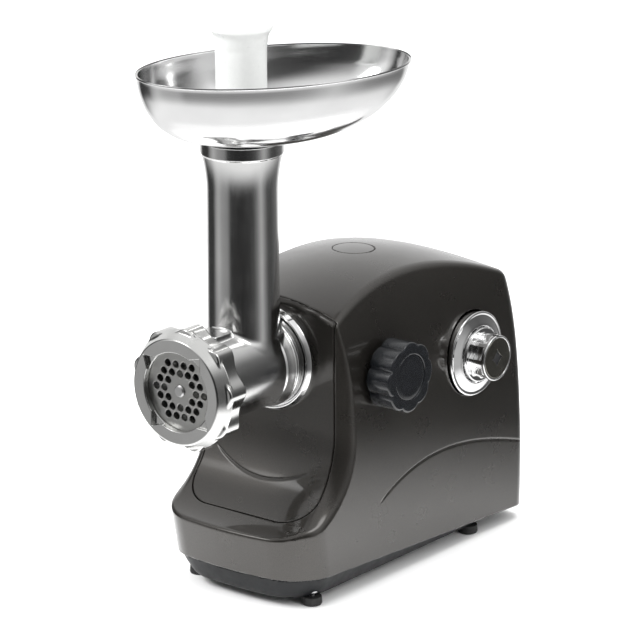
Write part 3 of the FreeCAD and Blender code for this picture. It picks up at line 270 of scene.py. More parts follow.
class Surface:
    """A node material around one Principled shader."""

    def __init__(self, name, **sockets):
        self.material = bpy.data.materials.new(name)
        self.material.use_nodes = True
        self.tree = self.material.node_tree
        self.shader = self.tree.nodes["Principled BSDF"]
        for key, value in sockets.items():
            self.shader.inputs[key.replace("_", " ")].default_value = value
        coords = self.node("ShaderNodeTexCoord")
        self.place = coords.outputs["Object"]

    def node(self, kind, **settings):
        made = self.tree.nodes.new(kind)
        for key, value in settings.items():
            if key in made.inputs:
                made.inputs[key].default_value = value
            else:
                setattr(made, key, value)
        return made

    def link(self, source, target):
        self.tree.links.new(source, target)

    def stretched(self, scale):
        mapping = self.node("ShaderNodeMapping")
        mapping.inputs["Scale"].default_value = scale
        self.link(self.place, mapping.inputs["Vector"])
        return mapping.outputs["Vector"]

    def noise(self, scale, detail=3.0, rough=0.5, where=None):
        made = self.node("ShaderNodeTexNoise", Scale=scale, Detail=detail, Roughness=rough)
        self.link(where or self.place, made.inputs["Vector"])
        return made.outputs["Fac"]

    def ramp(self, source, stops):
        made = self.node("ShaderNodeValToRGB")
        band = made.color_ramp
        while len(band.elements) < len(stops):
            band.elements.new(0.5)
        for element, (at, colour) in zip(band.elements, stops):
            element.position = at
            element.color = (*colour, 1.0)
        self.link(source, made.inputs["Fac"])
        return made.outputs["Color"]

    def span(self, source, low, high):
        """The source's 0.3 to 0.7 as low to high."""
        made = self.node("ShaderNodeMapRange")
        for key, value in (("From Min", 0.3), ("From Max", 0.7), ("To Min", low), ("To Max", high)):
            made.inputs[key].default_value = value
        self.link(source, made.inputs["Value"])
        return made.outputs["Result"]

    def colour(self, source, dark, light):
        self.link(self.ramp(source, ((0.3, dark), (0.7, light))), self.shader.inputs["Base Color"])

    def roughness(self, source, low, high):
        self.link(self.span(source, low, high), self.shader.inputs["Roughness"])

    def bump(self, source, strength, distance):
        made = self.node("ShaderNodeBump", Strength=strength, Distance=distance)
        self.link(source, made.inputs["Height"])
        self.link(made.outputs["Normal"], self.shader.inputs["Normal"])


def gunmetal(name, lift=1.0):
    """Glossy metallic lacquer on moulded plastic: fine flakes under a clear coat."""
    s = Surface(name, Metallic=0.75, Coat_Weight=0.8, Coat_Roughness=0.04, Coat_IOR=1.5)
    flakes = s.noise(1900.0, 1.0, 0.5)
    dark = tuple(c * lift for c in (0.032, 0.0295, 0.0265))
    light = tuple(c * lift for c in (0.046, 0.042, 0.0375))
    s.colour(flakes, dark, light)
    s.roughness(s.noise(45.0, 4.0), 0.26, 0.33)
    s.bump(s.noise(60.0, 2.0), 0.02, 0.00008)
    return s.material


def moulded(name, dark, light, rough, grain=1400.0, depth=0.12, coat=0.0, shine=0.5):
    """Moulded plastic or rubber with a fine grain."""
    s = Surface(name, Coat_Weight=coat, Coat_Roughness=0.05, Specular_IOR_Level=shine)
    s.colour(s.noise(420.0, 4.0), dark, light)
    s.roughness(s.noise(160.0, 3.0), rough * 0.85, rough * 1.15)
    s.bump(s.noise(grain, 2.0), depth, 0.00006)
    return s.material


def metal(name, dark, light, rough, stretch, depth):
    """Metal with fine marks along one direction and slow changes of polish."""
    mottle = 18.0
    s = Surface(name, Metallic=1.0)
    marks = s.noise(1.0, 4.0, 0.6, s.stretched(stretch))
    s.colour(s.noise(mottle, 3.0), dark, light)
    slow = s.noise(mottle * 2.2, 3.0)
    mixed = s.node("ShaderNodeMath", operation="ADD")
    half = s.node("ShaderNodeMath", operation="MULTIPLY")
    half.inputs[1].default_value = 0.5
    s.link(marks, mixed.inputs[0])
    s.link(slow, mixed.inputs[1])
    s.link(mixed.outputs[0], half.inputs[0])
    s.roughness(half.outputs[0], rough * 0.7, rough * 1.35)
    s.bump(marks, depth, 0.00003)
    return s.material


MATERIALS = {
    "gunmetal": gunmetal("gunmetal"),
    "panel": gunmetal("gunmetal_panel", 0.9),
    "base": moulded("base_black", (0.004, 0.0045, 0.0055), (0.007, 0.0078, 0.009), 0.45, shine=0.3),
    "rubber": moulded("foot_rubber", (0.012, 0.012, 0.012), (0.022, 0.022, 0.022), 0.7, 900.0, 0.3),
    "chrome": metal("chrome", (0.80, 0.80, 0.80), (0.87, 0.87, 0.87), 0.06, (20.0, 20.0, 20.0), 0.03),
    "cast": metal("polished_casting", (0.66, 0.66, 0.66), (0.80, 0.80, 0.79),
                  0.17, (700.0, 700.0, 45.0), 0.25),
    "ring": metal("ring_casting", (0.60, 0.60, 0.59), (0.73, 0.73, 0.72), 0.15, (220.0, 220.0, 220.0), 0.3),
    "tray": metal("spun_tray", (0.74, 0.74, 0.74), (0.84, 0.84, 0.84), 0.12, (160.0, 160.0, 900.0), 0.14),
    "plate": metal("ground_plate", (0.44, 0.44, 0.43), (0.57, 0.57, 0.55), 0.34, (900.0, 300.0, 60.0), 0.2),
    "worm": metal("tumbled_casting", (0.55, 0.55, 0.55), (0.68, 0.68, 0.67),
                  0.35, (300.0, 300.0, 300.0), 0.4),
    "steel": metal("turned_steel", (0.45, 0.45, 0.46), (0.60, 0.60, 0.60), 0.28, (900.0, 60.0, 900.0), 0.2),
    "bronze": metal("sintered_bronze", (0.42, 0.28, 0.14), (0.58, 0.40, 0.20),
                    0.4, (500.0, 500.0, 500.0), 0.3),
    "copper": metal("enamelled_copper", (0.45, 0.18, 0.07), (0.72, 0.34, 0.16),
                    0.3, (80.0, 900.0, 80.0), 0.6),
    "white": moulded("white_moulding", (0.80, 0.812, 0.80), (0.825, 0.836, 0.822), 0.32, 300.0, 0.015, 0.2),
    "knob": moulded("knob_black", (0.005, 0.006, 0.007), (0.008, 0.009, 0.011), 0.22, 300.0, 0.008, 0.3),
    "satin": metal("satin_plating", (0.26, 0.25, 0.22), (0.36, 0.35, 0.31), 0.22, (90.0, 90.0, 90.0), 0.1),
    "acetal": moulded("acetal", (0.60, 0.58, 0.50), (0.68, 0.66, 0.58), 0.45),
    "black": moulded("black_moulding", (0.012, 0.012, 0.013), (0.025, 0.025, 0.027), 0.5),
    "graphite": moulded("graphite", (0.02, 0.02, 0.02), (0.05, 0.05, 0.05), 0.55),
    "yellow": moulded("capacitor_yellow", (0.60, 0.42, 0.05), (0.72, 0.52, 0.08), 0.35),
}


def finish_piece(piece, body, slot, material, *nodes):
    """The material, the body that a piece rides on and the nodes it stands for. The slot argument is not
    used.
    """
    piece.data.materials.clear()
    piece.data.materials.append(MATERIALS[material])
    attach(piece, body)
    if nodes:
        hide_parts(*nodes)


# ---------------------------------------------------------------- housing

CROWN = np.array([(-76.0, 203.0, 9.5), (-40.0, 213.0, 7.0), (0.0, 219.0, 6.6), (40.0, 218.5, 7.0),
                  (80.0, 210.5, 6.0), (115.0, 197.5, 3.6), (160.0, 174.0, 3.0)])
crown_line = np.polyfit(CROWN[:, 0], CROWN[:, 1], 5)
crown_sag = np.polyfit(CROWN[:, 0], CROWN[:, 2], 4)
WALL = 2.6


def flank(x, z):
    """The two side walls, which lean in towards the top."""
    def width(at):
        s = np.maximum(at - 95.0, 0.0) / 115.0
        low = np.maximum(95.0 - at, 0.0) / 95.0
        return 64.7 - 2.3 * low ** 2 - 2.6 * s ** 2 - 12.6 * s ** 4
    lean = width(z + 0.5) - width(z - 0.5)
    return (np.abs(x) - width(z)) / np.sqrt(1 + lean ** 2)


def crown(x, y):
    """Height of the crowned top."""
    return np.polyval(crown_line, y) - np.polyval(crown_sag, y) * (x / 50.0) ** 2


def scoop(x, y, z):
    """The front: a flat face above a concave apron, set back towards the flanks."""
    t = np.clip((np.abs(x) - 53.5) / 12.5, 0.0, 1.2) ** 2
    cy, cz, radius = -132.7 + 16.5 * t, 118.0 - 6.0 * t, 64.7 - 5.54 * t
    below = radius - np.sqrt((y - cy) ** 2 + (z - cz) ** 2)
    return np.where(z < cz, below, cy + radius - y)


def front_lip(x, y, z, inset=0.0):
    """The bowed front edge below the apron."""
    lean = 0.172 * np.maximum(53.5 - z, 0.0)
    return (-124.4 + inset + 3.5 * (np.minimum(np.abs(x), 60.0) / 45.0) ** 2 + lean - y) / 1.02


def rear(x, y, z, inset=0.0):
    """The bowed rear wall."""
    return (y - (148.8 - inset - 1.3 * (np.minimum(np.abs(x), 60.0) / 42.0) ** 2 - 0.00042 * z ** 2)) / 1.01


def envelope(x, y, z):
    """The outer skin of the housing, before its holes and seams."""
    plan = round_and(round_and(flank(x, z), front_lip(x, y, z), 28.0), rear(x, y, z), 13.0)
    body = round_and(plan, scoop(x, y, z), 2.6)
    top = round_and((z - crown(x, y)) * 0.97, rear(x, y, z), 9.0)
    return round_and(body, top, 3.2)


def panel_outline(x, y, z):
    """Inside the front panel's U, seen along the 45 degree line that it is drawn on."""
    rise = (y + z) * math.sqrt(0.5)
    return round_and(np.abs(x) - 54.0, -31.0 - rise, 24.0)


def groove(distance, width, depth):
    """Depth of a soft groove at a distance from its middle line."""
    return depth * np.exp(-(distance / width) ** 2)


def hole(u, v, radius):
    return np.sqrt(u ** 2 + v ** 2) - radius


SWOOSH = np.array([(-29.0, 60.0), (-10.0, 69.5), (13.0, 76.0), (37.0, 79.0), (66.0, 77.5),
                   (100.0, 71.0), (133.0, 61.5)])
swoosh_line = np.polyfit(SWOOSH[:, 0], SWOOSH[:, 1], 4)


def flank_groove(x, y, z):
    """The long curved line on each flank."""
    slope = np.polyval(np.polyder(swoosh_line), y)
    away = (z - np.polyval(swoosh_line, y)) / np.sqrt(1 + slope ** 2)
    ends = np.clip((y + 31.0) / 12.0, 0, 1) * np.clip((140.0 - y) / 12.0, 0, 1)
    return groove(away, 0.75, 0.75) * ends * (np.abs(x) > 50.0)


def apron_groove(x, y, z):
    """The arc on the apron, round the head's axis."""
    away = np.sqrt(x ** 2 + (z - HEAD_Z) ** 2) - 84.0
    ends = np.clip((x + 46.0) / 8.0, 0, 1) * np.clip((38.0 - x) / 8.0, 0, 1)
    return groove(away, 0.65, 0.7) * ends * (z < 120.0) * (y < -66.0)


def seam(y, z):
    """The sloping joint between the housing and the base."""
    return 17.0 - 0.05 * y - z


def housing_field(x, y, z):
    skin = envelope(x, y, z)
    f = skin + flank_groove(x, y, z)
    badge = round_and(hole(x, y - BADGE_Y, BADGE_HOLE), -(skin + 1.2), 0.3)
    f = less(f, np.maximum(badge, 100.0 - z), 0.5)
    corner = np.clip((np.abs(x) - 50.0) / 6.0, 0, 1) * np.clip((-42.0 - y) / 12.0, 0, 1)
    f = round_and(f, -(skin + WALL + 4.0 * corner), 0.4)
    f = round_and(f, seam(y, z), 0.7)
    front = np.maximum(panel_outline(x, y, z) - 0.35, y + 65.0)
    f = less(f, front, 0.8)
    f = less(f, np.maximum(hole(y - LOCK_Y, z - LOCK_Z, 7.0), 40.0 - x), 0.6)
    f = less(f, np.maximum(hole(y - SWITCH_Y, z - SWITCH_Z, SWITCH_HOLE), 50.0 - x), 0.5)
    cell = x - 8.0 * np.clip(np.round(x / 8.0), -4, 4)
    slots = np.maximum(round_and(np.abs(cell) - 1.6, np.abs(z - VENT_Z) - 23.0, 1.5), 125.0 - y)
    f = less(f, slots, 0.4)
    return less(f, np.maximum(hole(x - INLET_X, z - INLET_Z, 9.1), 130.0 - y), 0.4)


def panel_field(x, y, z):
    skin = envelope(x, y, z)
    f = round_and(skin + apron_groove(x, y, z), -(skin + WALL), 0.4)
    f = round_and(f, panel_outline(x, y, z), 0.8)
    f = round_and(f, y + 65.4, 0.6)
    return less(f, np.maximum(hole(x, z - HEAD_Z, 33.6), y + 40.0), 0.5)


def near_detail(x, y, z):
    """Where the housing needs finer faces: its grooves, seams, holes and vents."""
    edge = np.abs(panel_outline(x, y, z)) < 2.5
    swoosh = (np.abs(z - np.polyval(swoosh_line, y)) < 2.2) & (np.abs(x) > 55) & (y > -34) & (y < 142)
    badge = (np.abs(hole(x, y - BADGE_Y, BADGE_HOLE)) < 2.0) & (z > 150)
    lock = (hole(y - LOCK_Y, z - LOCK_Z, 9.0) < 0) & (x > 50)
    dial = (np.abs(hole(y - SWITCH_Y, z - SWITCH_Z, SWITCH_HOLE)) < 2.0) & (x > 50)
    vents = (np.abs(x) < 36) & (np.abs(z - VENT_Z) < 26) & (y > 130)
    return (edge & (y < -58)) | swoosh | badge | lock | dial | vents


housing = sculpt("housing_shell", housing_field, (-65, -125, 9), (65, 150, 220), 1.3, near_detail)
finish_piece(housing, "machine", "housing", "gunmetal", "main_housing")
panel = sculpt("front_panel_skin", panel_field, (-55, -112, 50), (55, -64, 207), 0.9,
               lambda x, y, z: apron_groove(x, y, z) > 0.001)
finish_piece(panel, "machine", "panel", "panel", "front_panel")


def badge_field(x, y, z):
    skin = envelope(x, y, z)
    sheet = round_and(skin + 0.05, -(skin + 1.1), 0.3)
    return round_and(sheet, np.maximum(hole(x, y - BADGE_Y, BADGE_RADIUS), 100.0 - z), 0.35)


badge_disc = sculpt("badge_disc", badge_field, (-15, 8, 210), (15, 38, 220), 0.5)
finish_piece(badge_disc, "machine", "badge", "panel", "top_badge")


def base_field(x, y, z):
    inset = 10.2 - 8.8 * np.clip((z - 6.0) / 18.0, 0.0, 1.2) ** 0.75
    side = np.abs(x) - (63.0 - inset)
    plan = round_and(round_and(side, front_lip(x, y, 20.0, inset), 26.0), rear(x, y, 20.0, inset), 15.0)
    outer = round_and(plan * 0.9, 6.0 - z, 1.6)
    hollow = round_and(plan + 3.0, 9.0 - z, 1.0)
    f = less(outer, hollow, 0.4)
    f = round_and(f, -seam(y, z) + 0.35, 0.5)
    cell = y - 40.0 - 8.0 * np.clip(np.round((y - 40.0) / 8.0), 0, 6)
    slots = np.maximum(round_and(np.abs(cell) - 1.5, np.abs(x) - 20.0, 1.4), z - 12.0)
    return less(f, slots, 0.4)


base = sculpt("base_tub", base_field, (-64, -124, 5), (64, 150, 25), 1.2)
finish_piece(base, "machine", "base", "base", "base_plate")

FOOT = [(0.2, 2.2, 0), (0.2, 5.2, 0.5), (0.0, 5.6, 0.3), (0.0, 6.4, 0.5), (1.2, 7.0, 0.5), (6.0, 6.7, 0.3),
        (6.0, 2.2, 0)]
feet = [turned("foot_%d" % i, "Z", (x, y, 0.0), FOOT, 48)
        for i, (x, y) in enumerate(((-50, -88), (50, -88), (-50, 92), (50, 92)))]
for foot in feet:
    finish_piece(foot, "machine", "feet", "rubber", "rubber_feet")

# ---------------------------------------------------------------- head


def tube(axis_distance, along, radius, low, high, edge):
    """A cylinder between two stations, with rounded ends."""
    return round_and(axis_distance - radius, np.maximum(low - along, along - high), edge)


def cone(axis_distance, along, low, low_radius, high, high_radius, edge):
    """A cone's stub between two stations, with rounded ends."""
    slope = (high_radius - low_radius) / (high - low)
    side = (axis_distance - low_radius - slope * (along - low)) / math.hypot(1, slope)
    return round_and(side, np.maximum(low - along, along - high), edge)


def casting_field(x, y, z):
    r = np.sqrt(x ** 2 + (z - HEAD_Z) ** 2)
    q = np.sqrt(x ** 2 + (y - TUBE_Y) ** 2)
    barrel = tube(r, y, 30.4, -150.0, -80.0, 0.5)
    bell = round_and(tube(r, y, 35.0, -163.5, -145.0, 0.6), (r - 30.4 - (-136.0 - y) * 0.62) * 0.85, 1.5)
    barrel = round_or(barrel, bell, 3.0)
    flange = round_or(cone(r, y, -89.0, 30.6, -80.0, 32.4, 0.8), tube(r, y, 32.6, -81.0, -71.0, 1.2), 0.5)
    flange = flange + groove(y + 79.8, 0.5, 0.6)
    barrel = round_or(barrel, flange, 1.2)
    flare = 3.4 * np.clip((z - 286.0) / 27.0, 0.0, 1.0) ** 2
    stem = round_and(q - (24.0 + 0.6 * np.clip((280 - z) / 90.0, 0, 1) + flare), z - 314.0, 0.8)
    collar = tube(q, z, 28.2, 313.2, 322.0, 1.0)
    stem = round_or(stem, collar, 0.8)
    upright = np.maximum(stem, HEAD_Z - z)
    upright = less(upright, np.maximum(r - 38.2, -75.0 - y), 0.5)
    f = round_or(barrel, upright, 3.5)
    boss = round_and(round_and(np.abs(x) - 10.0, np.abs(y + 131.0) - 9.0, 2.0), z - 195.6, 1.0)
    f = round_or(f, np.maximum(boss, HEAD_Z - z), 2.0)
    shank = round_and(tube(r, y, 27.0, -73.0, -12.0, 0.8), 22.0 - r, 0.5)
    hollow = np.maximum(r - 26.0, np.maximum(-175.0 - y, y + 82.0))
    hollow = np.minimum(hollow, tube(r, y, 31.3, -175.0, -151.5, 0.2))
    hollow = np.minimum(hollow, np.maximum(q - 20.0, HEAD_Z - z))
    f = less(f, hollow, 0.5)
    f = round_or(f, shank, 0.4)
    return less(f, r - 10.06, 0.3)


casting = sculpt("head_casting_skin", casting_field, (-36, -164, 127), (36, -11, 323), 1.0,
                 lambda x, y, z: (z > 306) | ((y > -92) & (y < -70)) | (np.abs(y + 80) < 3))
finish_piece(casting, "head", "cast_aluminium", "cast", "head_casting")


def ring_field(x, y, z):
    w = z - HEAD_Z
    r = np.sqrt(x ** 2 + w ** 2)
    angle = np.arctan2(x, w) - math.radians(5.0)
    wave = np.cos(9 * angle)
    lobes = (r - (41.0 + 2.3 * (wave - 0.18 * (1 - wave ** 2)))) * 0.93
    f = round_and(lobes, np.maximum(-163.8 - y, y + 147.0), 1.6)
    nose = cone(r, y, -170.0, 36.3, -160.0, 42.0, 0.8)
    f = round_or(f, nose, 0.8)
    f = less(f, r - 27.3, 0.6)
    f = less(f, np.maximum(r - 35.35, -165.3 - y), 0.3)
    for turn in (52, 142, 232, 322):
        a = math.radians(turn)
        out = x * math.cos(a) + w * math.sin(a)
        side = -x * math.sin(a) + w * math.cos(a)
        wedge = (np.abs(side) - 0.75 * (34.6 - out)) * 0.8
        notch = np.maximum(np.maximum(wedge, 20.0 - out), y + 167.0)
        f = less(f, notch, 0.5)
    return f


ring = sculpt("ring_nut_skin", ring_field, (-45, -171, 118), (45, -146, 208), 0.7)
finish_piece(ring, "ring", "ring_aluminium", "ring", "ring_nut")

PITCH = 6.9
hole_places = []
for line in range(-3, 4):
    across = 7 - abs(line)
    for column in range(across):
        u, w = (column - (across - 1) / 2) * PITCH, line * PITCH * math.sqrt(0.75)
        if math.hypot(u, w) > 1.5 * PITCH:
            hole_places.append((u, w))


def plate_field(x, y, z):
    w = z - HEAD_Z
    f = tube(np.sqrt(x ** 2 + w ** 2), y, 31.0, PLATE_Y, PLATE_Y + 5.0, 0.5)
    holes = hole(x, w, 4.25)
    for u, v in hole_places:
        holes = np.minimum(holes, hole(x - u, w - v, 2.6))
    f = less(f, holes, 0.25)
    slot = np.maximum(np.abs(x) - 1.8, 28.4 - w)
    return less(f, slot, 0.3)


plate = sculpt("plate_skin", plate_field, (-31.5, -165.5, 131), (31.5, -159.5, 195), 0.45)
finish_piece(plate, "plate", "plate_steel", "plate", "cutting_plate")

escutcheon = turned("escutcheon_ring", "Y", (0, 0, HEAD_Z + 0.3), [
    (-68.1, 33.2, 0), (-68.1, 37.7, 0.3), (-71.2, 37.4, 1.4), (-74.4, 35.6, 1.0), (-74.5, 34.6, 0.5),
    (-72.4, 34.3, 0.6), (-72.6, 33.2, 0.2)], 160, closed=True)
finish_piece(escutcheon, "machine", "chrome", "chrome", "head_escutcheon")

# ---------------------------------------------------------------- tray and pusher

# The bowl's rows: level from floor to rim, then the long and short half axes and the middle's
# offset, each as a share of its size at the rim.
BOWL = np.array([(0.0, 0.40, 0.50, 0.32), (0.06, 0.56, 0.66, 0.50), (0.20, 0.735, 0.80, 0.68),
                 (0.42, 0.87, 0.90, 0.84), (0.70, 0.960, 0.965, 0.95), (1.0, 1.0, 1.0, 1.0)])


def eased(table, at):
    """Smooth columns of a table through its rows, by the first column (Catmull-Rom)."""
    keys, values = table[:, 0], table[:, 1:]
    slopes = np.gradient(values, keys, axis=0)
    i = np.clip(np.searchsorted(keys, at, side="right") - 1, 0, len(keys) - 2)
    h = keys[i + 1] - keys[i]
    t = (at - keys[i]) / h
    a, b = 2 * t ** 3 - 3 * t ** 2 + 1, t ** 3 - 2 * t ** 2 + t
    c, e = -2 * t ** 3 + 3 * t ** 2, t ** 3 - t ** 2
    return a * values[i] + b * h * slopes[i] + c * values[i + 1] + e * h * slopes[i + 1]


def make_tray():
    """Spun oval bowl with a rolled rim and a short spout into the feed tube."""
    floor, rim, wall = 323.0, 370.0, 1.2
    long_axis, short_axis, offset = 95.5, 59.0, 23.4
    turn = math.radians(60.0)
    rings = []

    def add(z, a, b, shift):
        """One ring: its height, half axes and how far its middle is from the feed tube's axis."""
        rings.append((z, a, b, shift))

    levels = np.concatenate([np.linspace(0, 0.2, 12), np.linspace(0.24, 1.0, 22)])
    add(floor - 20.4, 18.4, 18.4, 0)
    add(floor - 20.4, 19.4, 19.4, 0)
    add(floor - 2.0, 19.5, 19.5, 0)
    add(floor - 0.3, 20.4, 20.4, 0)
    add(floor, 22.0, 22.0, 0.5)
    for level in levels:
        a, b, s = eased(BOWL, level)
        if level < 0.985:
            add(floor + (rim - floor) * level, a * long_axis, b * short_axis, s * offset)
    for k in range(9):
        roll = math.pi * (1.25 - k * 1.35 / 8)
        grow = -0.45 - math.cos(roll)
        add(rim - 0.4 - math.sin(roll), long_axis + grow, short_axis + grow, offset)
    for level in levels[::-1]:
        a, b, s = eased(BOWL, level)
        if level < 0.97:
            height = floor + wall + (rim - floor - wall) * level
            add(height, a * long_axis - wall, b * short_axis - wall, s * offset)
    add(floor + wall, 22.0, 22.0, 0.5)
    add(floor + wall - 0.4, 19.6, 19.6, 0)
    add(floor - 1.5, 18.4, 18.4, 0)
    segments = 192
    angles = np.arange(segments) * 2 * math.pi / segments
    verts = []
    for z, a, b, shift in rings:
        u, v = shift + a * np.cos(angles), b * np.sin(angles)
        x = u * math.cos(turn) - v * math.sin(turn)
        y = u * math.sin(turn) + v * math.cos(turn)
        verts.append(np.stack([x, y + TUBE_Y, np.full(segments, z)], 1))
    return ringed("tray_bowl", np.concatenate(verts), len(rings), segments, True, 50)


tray = make_tray()
finish_piece(tray, "tray", "tray_aluminium", "tray", "meat_tray")

pusher = turned("pusher_body", "Z", (0, TUBE_Y, 0), [
    (195.0, 0, 0), (195.0, 17.4, 2.0), (370.0, 17.2, 20), (385.0, 17.3, 12), (394.0, 18.6, 8),
    (398.0, 21.4, 2.0), (401.0, 21.8, 1.5), (403.8, 20.4, 1.4), (404.0, 14.0, 1.0), (403.4, 0, 0)])
finish_piece(pusher, "stomper", "white_plastic", "white", "pusher")

# ---------------------------------------------------------------- controls


def knob_field(x, y, z):
    u, w = y - LOCK_Y, z - LOCK_Z
    r = np.sqrt(u ** 2 + w ** 2)
    wave = 2.0 * np.sqrt(np.abs(np.cos(4 * np.arctan2(u, w))) + 0.02) - 1.0
    grip = (r - (23.3 + 1.5 * wave)) * 0.8
    f = round_and(grip, np.maximum(66.3 - x, x - 86.0), 1.3)
    f = less(f, np.maximum(r - 16.2, 84.4 - x), 0.6)
    return less(f, np.maximum(r - 5.1, x - 69.2), 0.3)


knob = sculpt("lock_knob_grip", knob_field, (65.5, -50, 127), (87, 2, 179), 0.6)
finish_piece(knob, "lock_handle", "knob_black", "knob", "lock_knob")
knob_face = turned("lock_knob_face", "X", (0, LOCK_Y, LOCK_Z), [
    (84.5, 0, 0), (84.5, 15.9, 0), (85.5, 15.9, 0.5), (85.8, 13.0, 1.0), (85.4, 0, 0)], 96)
finish_piece(knob_face, "lock_handle", "knob_black", "knob", "lock_knob_cap")

dish = turned("switch_dish", "X", (0, SWITCH_Y, SWITCH_Z), [
    (60.0, 14.6, 0), (60.0, 29.6, 0), (65.0, 29.8, 0.3), (66.8, 30.3, 0.5), (67.6, 29.2, 0.8),
    (67.0, 27.6, 0.8), (68.9, 23.0, 1.5), (69.8, 20.6, 0.6), (68.6, 20.0, 0.4), (67.0, 14.6, 0)],
    160, closed=True)
finish_piece(dish, "machine", "chrome", "chrome", "switch_escutcheon")


def dial_field(x, y, z):
    u, w = y - SWITCH_Y, z - SWITCH_Z
    r = np.sqrt(u ** 2 + w ** 2)
    skirt = tube(r, x, 19.4, 68.9, 72.0, 0.9)
    facets = np.maximum(0.0, np.abs(np.sin(4 * np.arctan2(u, w))) - 0.35)
    flutes = -2.8 * facets * np.clip((82.6 - x) / 1.6, 0, 1)
    grip = round_and((r - (16.2 + flutes)) * 0.9, np.maximum(70.0 - x, x - 85.0), 0.7)
    f = round_or(skirt, grip, 1.0)
    f = less(f, np.maximum(r - 14.5, 83.4 - x), 0.4)
    pointer = round_and(np.abs(u) - 1.3, np.abs(w - 16.2) - 1.4, 0.4)
    pointer = round_and(pointer, np.maximum(81.4 - x, x - 85.2), 0.4)
    return round_or(f, pointer, 0.3)


dial = sculpt("switch_dial", dial_field, (68, 57, 120), (86, 99, 162), 0.55)
finish_piece(dial, "selector", "switch_silver", "chrome", "switch_knob")


def star(u, w):
    """A four-pointed star, negative inside."""
    return ((np.abs(u) + 0.01) ** 0.75 + (np.abs(w) + 0.01) ** 0.75) ** (4.0 / 3.0) - 6.5


def dial_cap_field(x, y, z):
    u, w = y - SWITCH_Y, z - SWITCH_Z
    r = np.sqrt(u ** 2 + w ** 2)
    f = tube(r, x, 14.3, 83.5, 84.9, 0.4)
    return less(f, np.maximum(star(u, w) * 0.7, 84.0 - x), 0.15)


cap = sculpt("switch_dial_cap", dial_cap_field, (83, 63, 126), (85.5, 93, 156), 0.4)
finish_piece(cap, "selector", "switch_silver", "satin", "switch_knob_cap")

# The faces inside the cap's star are black.
cap.data.materials.append(MATERIALS["black"])
centres = np.empty(len(cap.data.polygons) * 3)
cap.data.polygons.foreach_get("center", centres)
x, y, z = (centres.reshape(-1, 3) * 1000.0 - SHIFT).T
recess = (star(y - SWITCH_Y, z - SWITCH_Z) < 0.3) & (x > 83.8) & (x < 84.75)
cap.data.polygons.foreach_set("material_index", recess.astype(np.int32))

# ---------------------------------------------------------------- nodes that stay as modelled

NODE_LOOKS = {
    "foot_screws": "steel", "head_socket": "black", "lock_guide_bush": "bronze", "lock_screw": "steel",
    "rotary_switch": "black", "gearbox_front_plate": "steel", "gearbox_rear_plate": "steel",
    "gearbox_spacers": "steel", "gearbox_bolts": "steel", "gear_pins": "steel", "output_bush": "bronze",
    "output_rear_bush": "bronze", "motor_stator": "graphite", "field_coils": "copper",
    "motor_front_bracket": "cast", "motor_rear_bracket": "cast", "motor_bearings": "bronze",
    "carbon_brushes": "graphite", "brush_holders": "black", "motor_cradle": "rubber",
    "suppression_capacitor": "yellow", "cord_inlet_bush": "black", "auger": "worm", "knife": "steel",
    "output_gear": "acetal", "output_shaft": "steel", "second_reduction_gear": "acetal",
    "first_reduction_gear": "acetal", "motor_shaft": "steel", "motor_pinion": "steel", "armature": "graphite",
    "commutator": "copper", "cooling_fan": "black", "switch_stem": "steel",
}
for node, look in NODE_LOOKS.items():
    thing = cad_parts[node]
    thing.data.materials.clear()
    thing.data.materials.append(MATERIALS[look])

# ---------------------------------------------------------------- stage, light and camera

scene = bpy.context.scene


def pale_surface(name):
    s = Surface(name, Roughness=0.6)
    s.colour(s.noise(3.0, 2.0), (0.90, 0.90, 0.90), (0.93, 0.93, 0.93))
    return s


def stage_disc(name, radius, material, segments=96):
    """A flat disc of floor, in metres. A pinhole in its middle lets all its faces be quads."""
    angles = np.arange(segments) * 2 * math.pi / segments
    round_line = np.stack([np.cos(angles), np.sin(angles), np.zeros(segments)], 1)
    verts = np.concatenate([round_line * 1e-4, round_line * radius])
    faces = [(j, j + segments, (j + 1) % segments + segments, (j + 1) % segments) for j in range(segments)]
    made = new_mesh(name, verts, faces)
    made.data.materials.append(material)
    return made


far_floor = stage_disc("floor", 12.0, pale_surface("pale_floor").material)
far_floor.visible_glossy = False
far_floor.location.z = -0.0001

# The part of the floor that the machine mirrors is a soft-edged mat, so no horizon line shows in the flanks.
mat = pale_surface("pale_mat")
middle = mat.node("ShaderNodeVectorMath", operation="LENGTH")
mat.link(mat.place, middle.inputs[0])
edge = mat.node("ShaderNodeMapRange", interpolation_type="SMOOTHSTEP")
edge.inputs["From Min"].default_value, edge.inputs["From Max"].default_value = 0.10, 0.40
mat.link(middle.outputs["Value"], edge.inputs["Value"])
clear = mat.node("ShaderNodeBsdfTransparent")
both = mat.node("ShaderNodeMixShader")
mat.link(edge.outputs["Result"], both.inputs[0])
mat.link(mat.shader.outputs["BSDF"], both.inputs[1])
mat.link(clear.outputs["BSDF"], both.inputs[2])
mat.link(both.outputs["Shader"], mat.tree.nodes["Material Output"].inputs["Surface"])
near_floor = stage_disc("floor_mat", 0.47, mat.material)
near_floor.location.z = -0.00002


def area_light(name, place, target, size, power):
    data = bpy.data.lights.new(name, "AREA")
    data.shape = "RECTANGLE"
    data.size, data.size_y = size
    data.energy = power
    lamp = bpy.data.objects.new(name, data)
    lamp.visible_glossy = False
    lamp.location = place
    lamp.rotation_mode = "QUATERNION"
    lamp.rotation_quaternion = (Vector(target) - Vector(place)).to_track_quat("-Z", "Y")
    scene.collection.objects.link(lamp)


area_light("key_softbox", (-1.1, -1.3, 1.7), (0, 0, 0.15), (0.9, 1.2), 54)
area_light("top_softbox", (0.2, 0.1, 2.1), (0, 0, 0.1), (1.4, 1.4), 52)
area_light("side_strip", (1.9, -0.4, 0.9), (0, 0, 0.15), (0.35, 1.3), 14)

AZIMUTH, ELEVATION, ROLL = math.radians(38.5), math.radians(17.0), math.radians(-0.3)


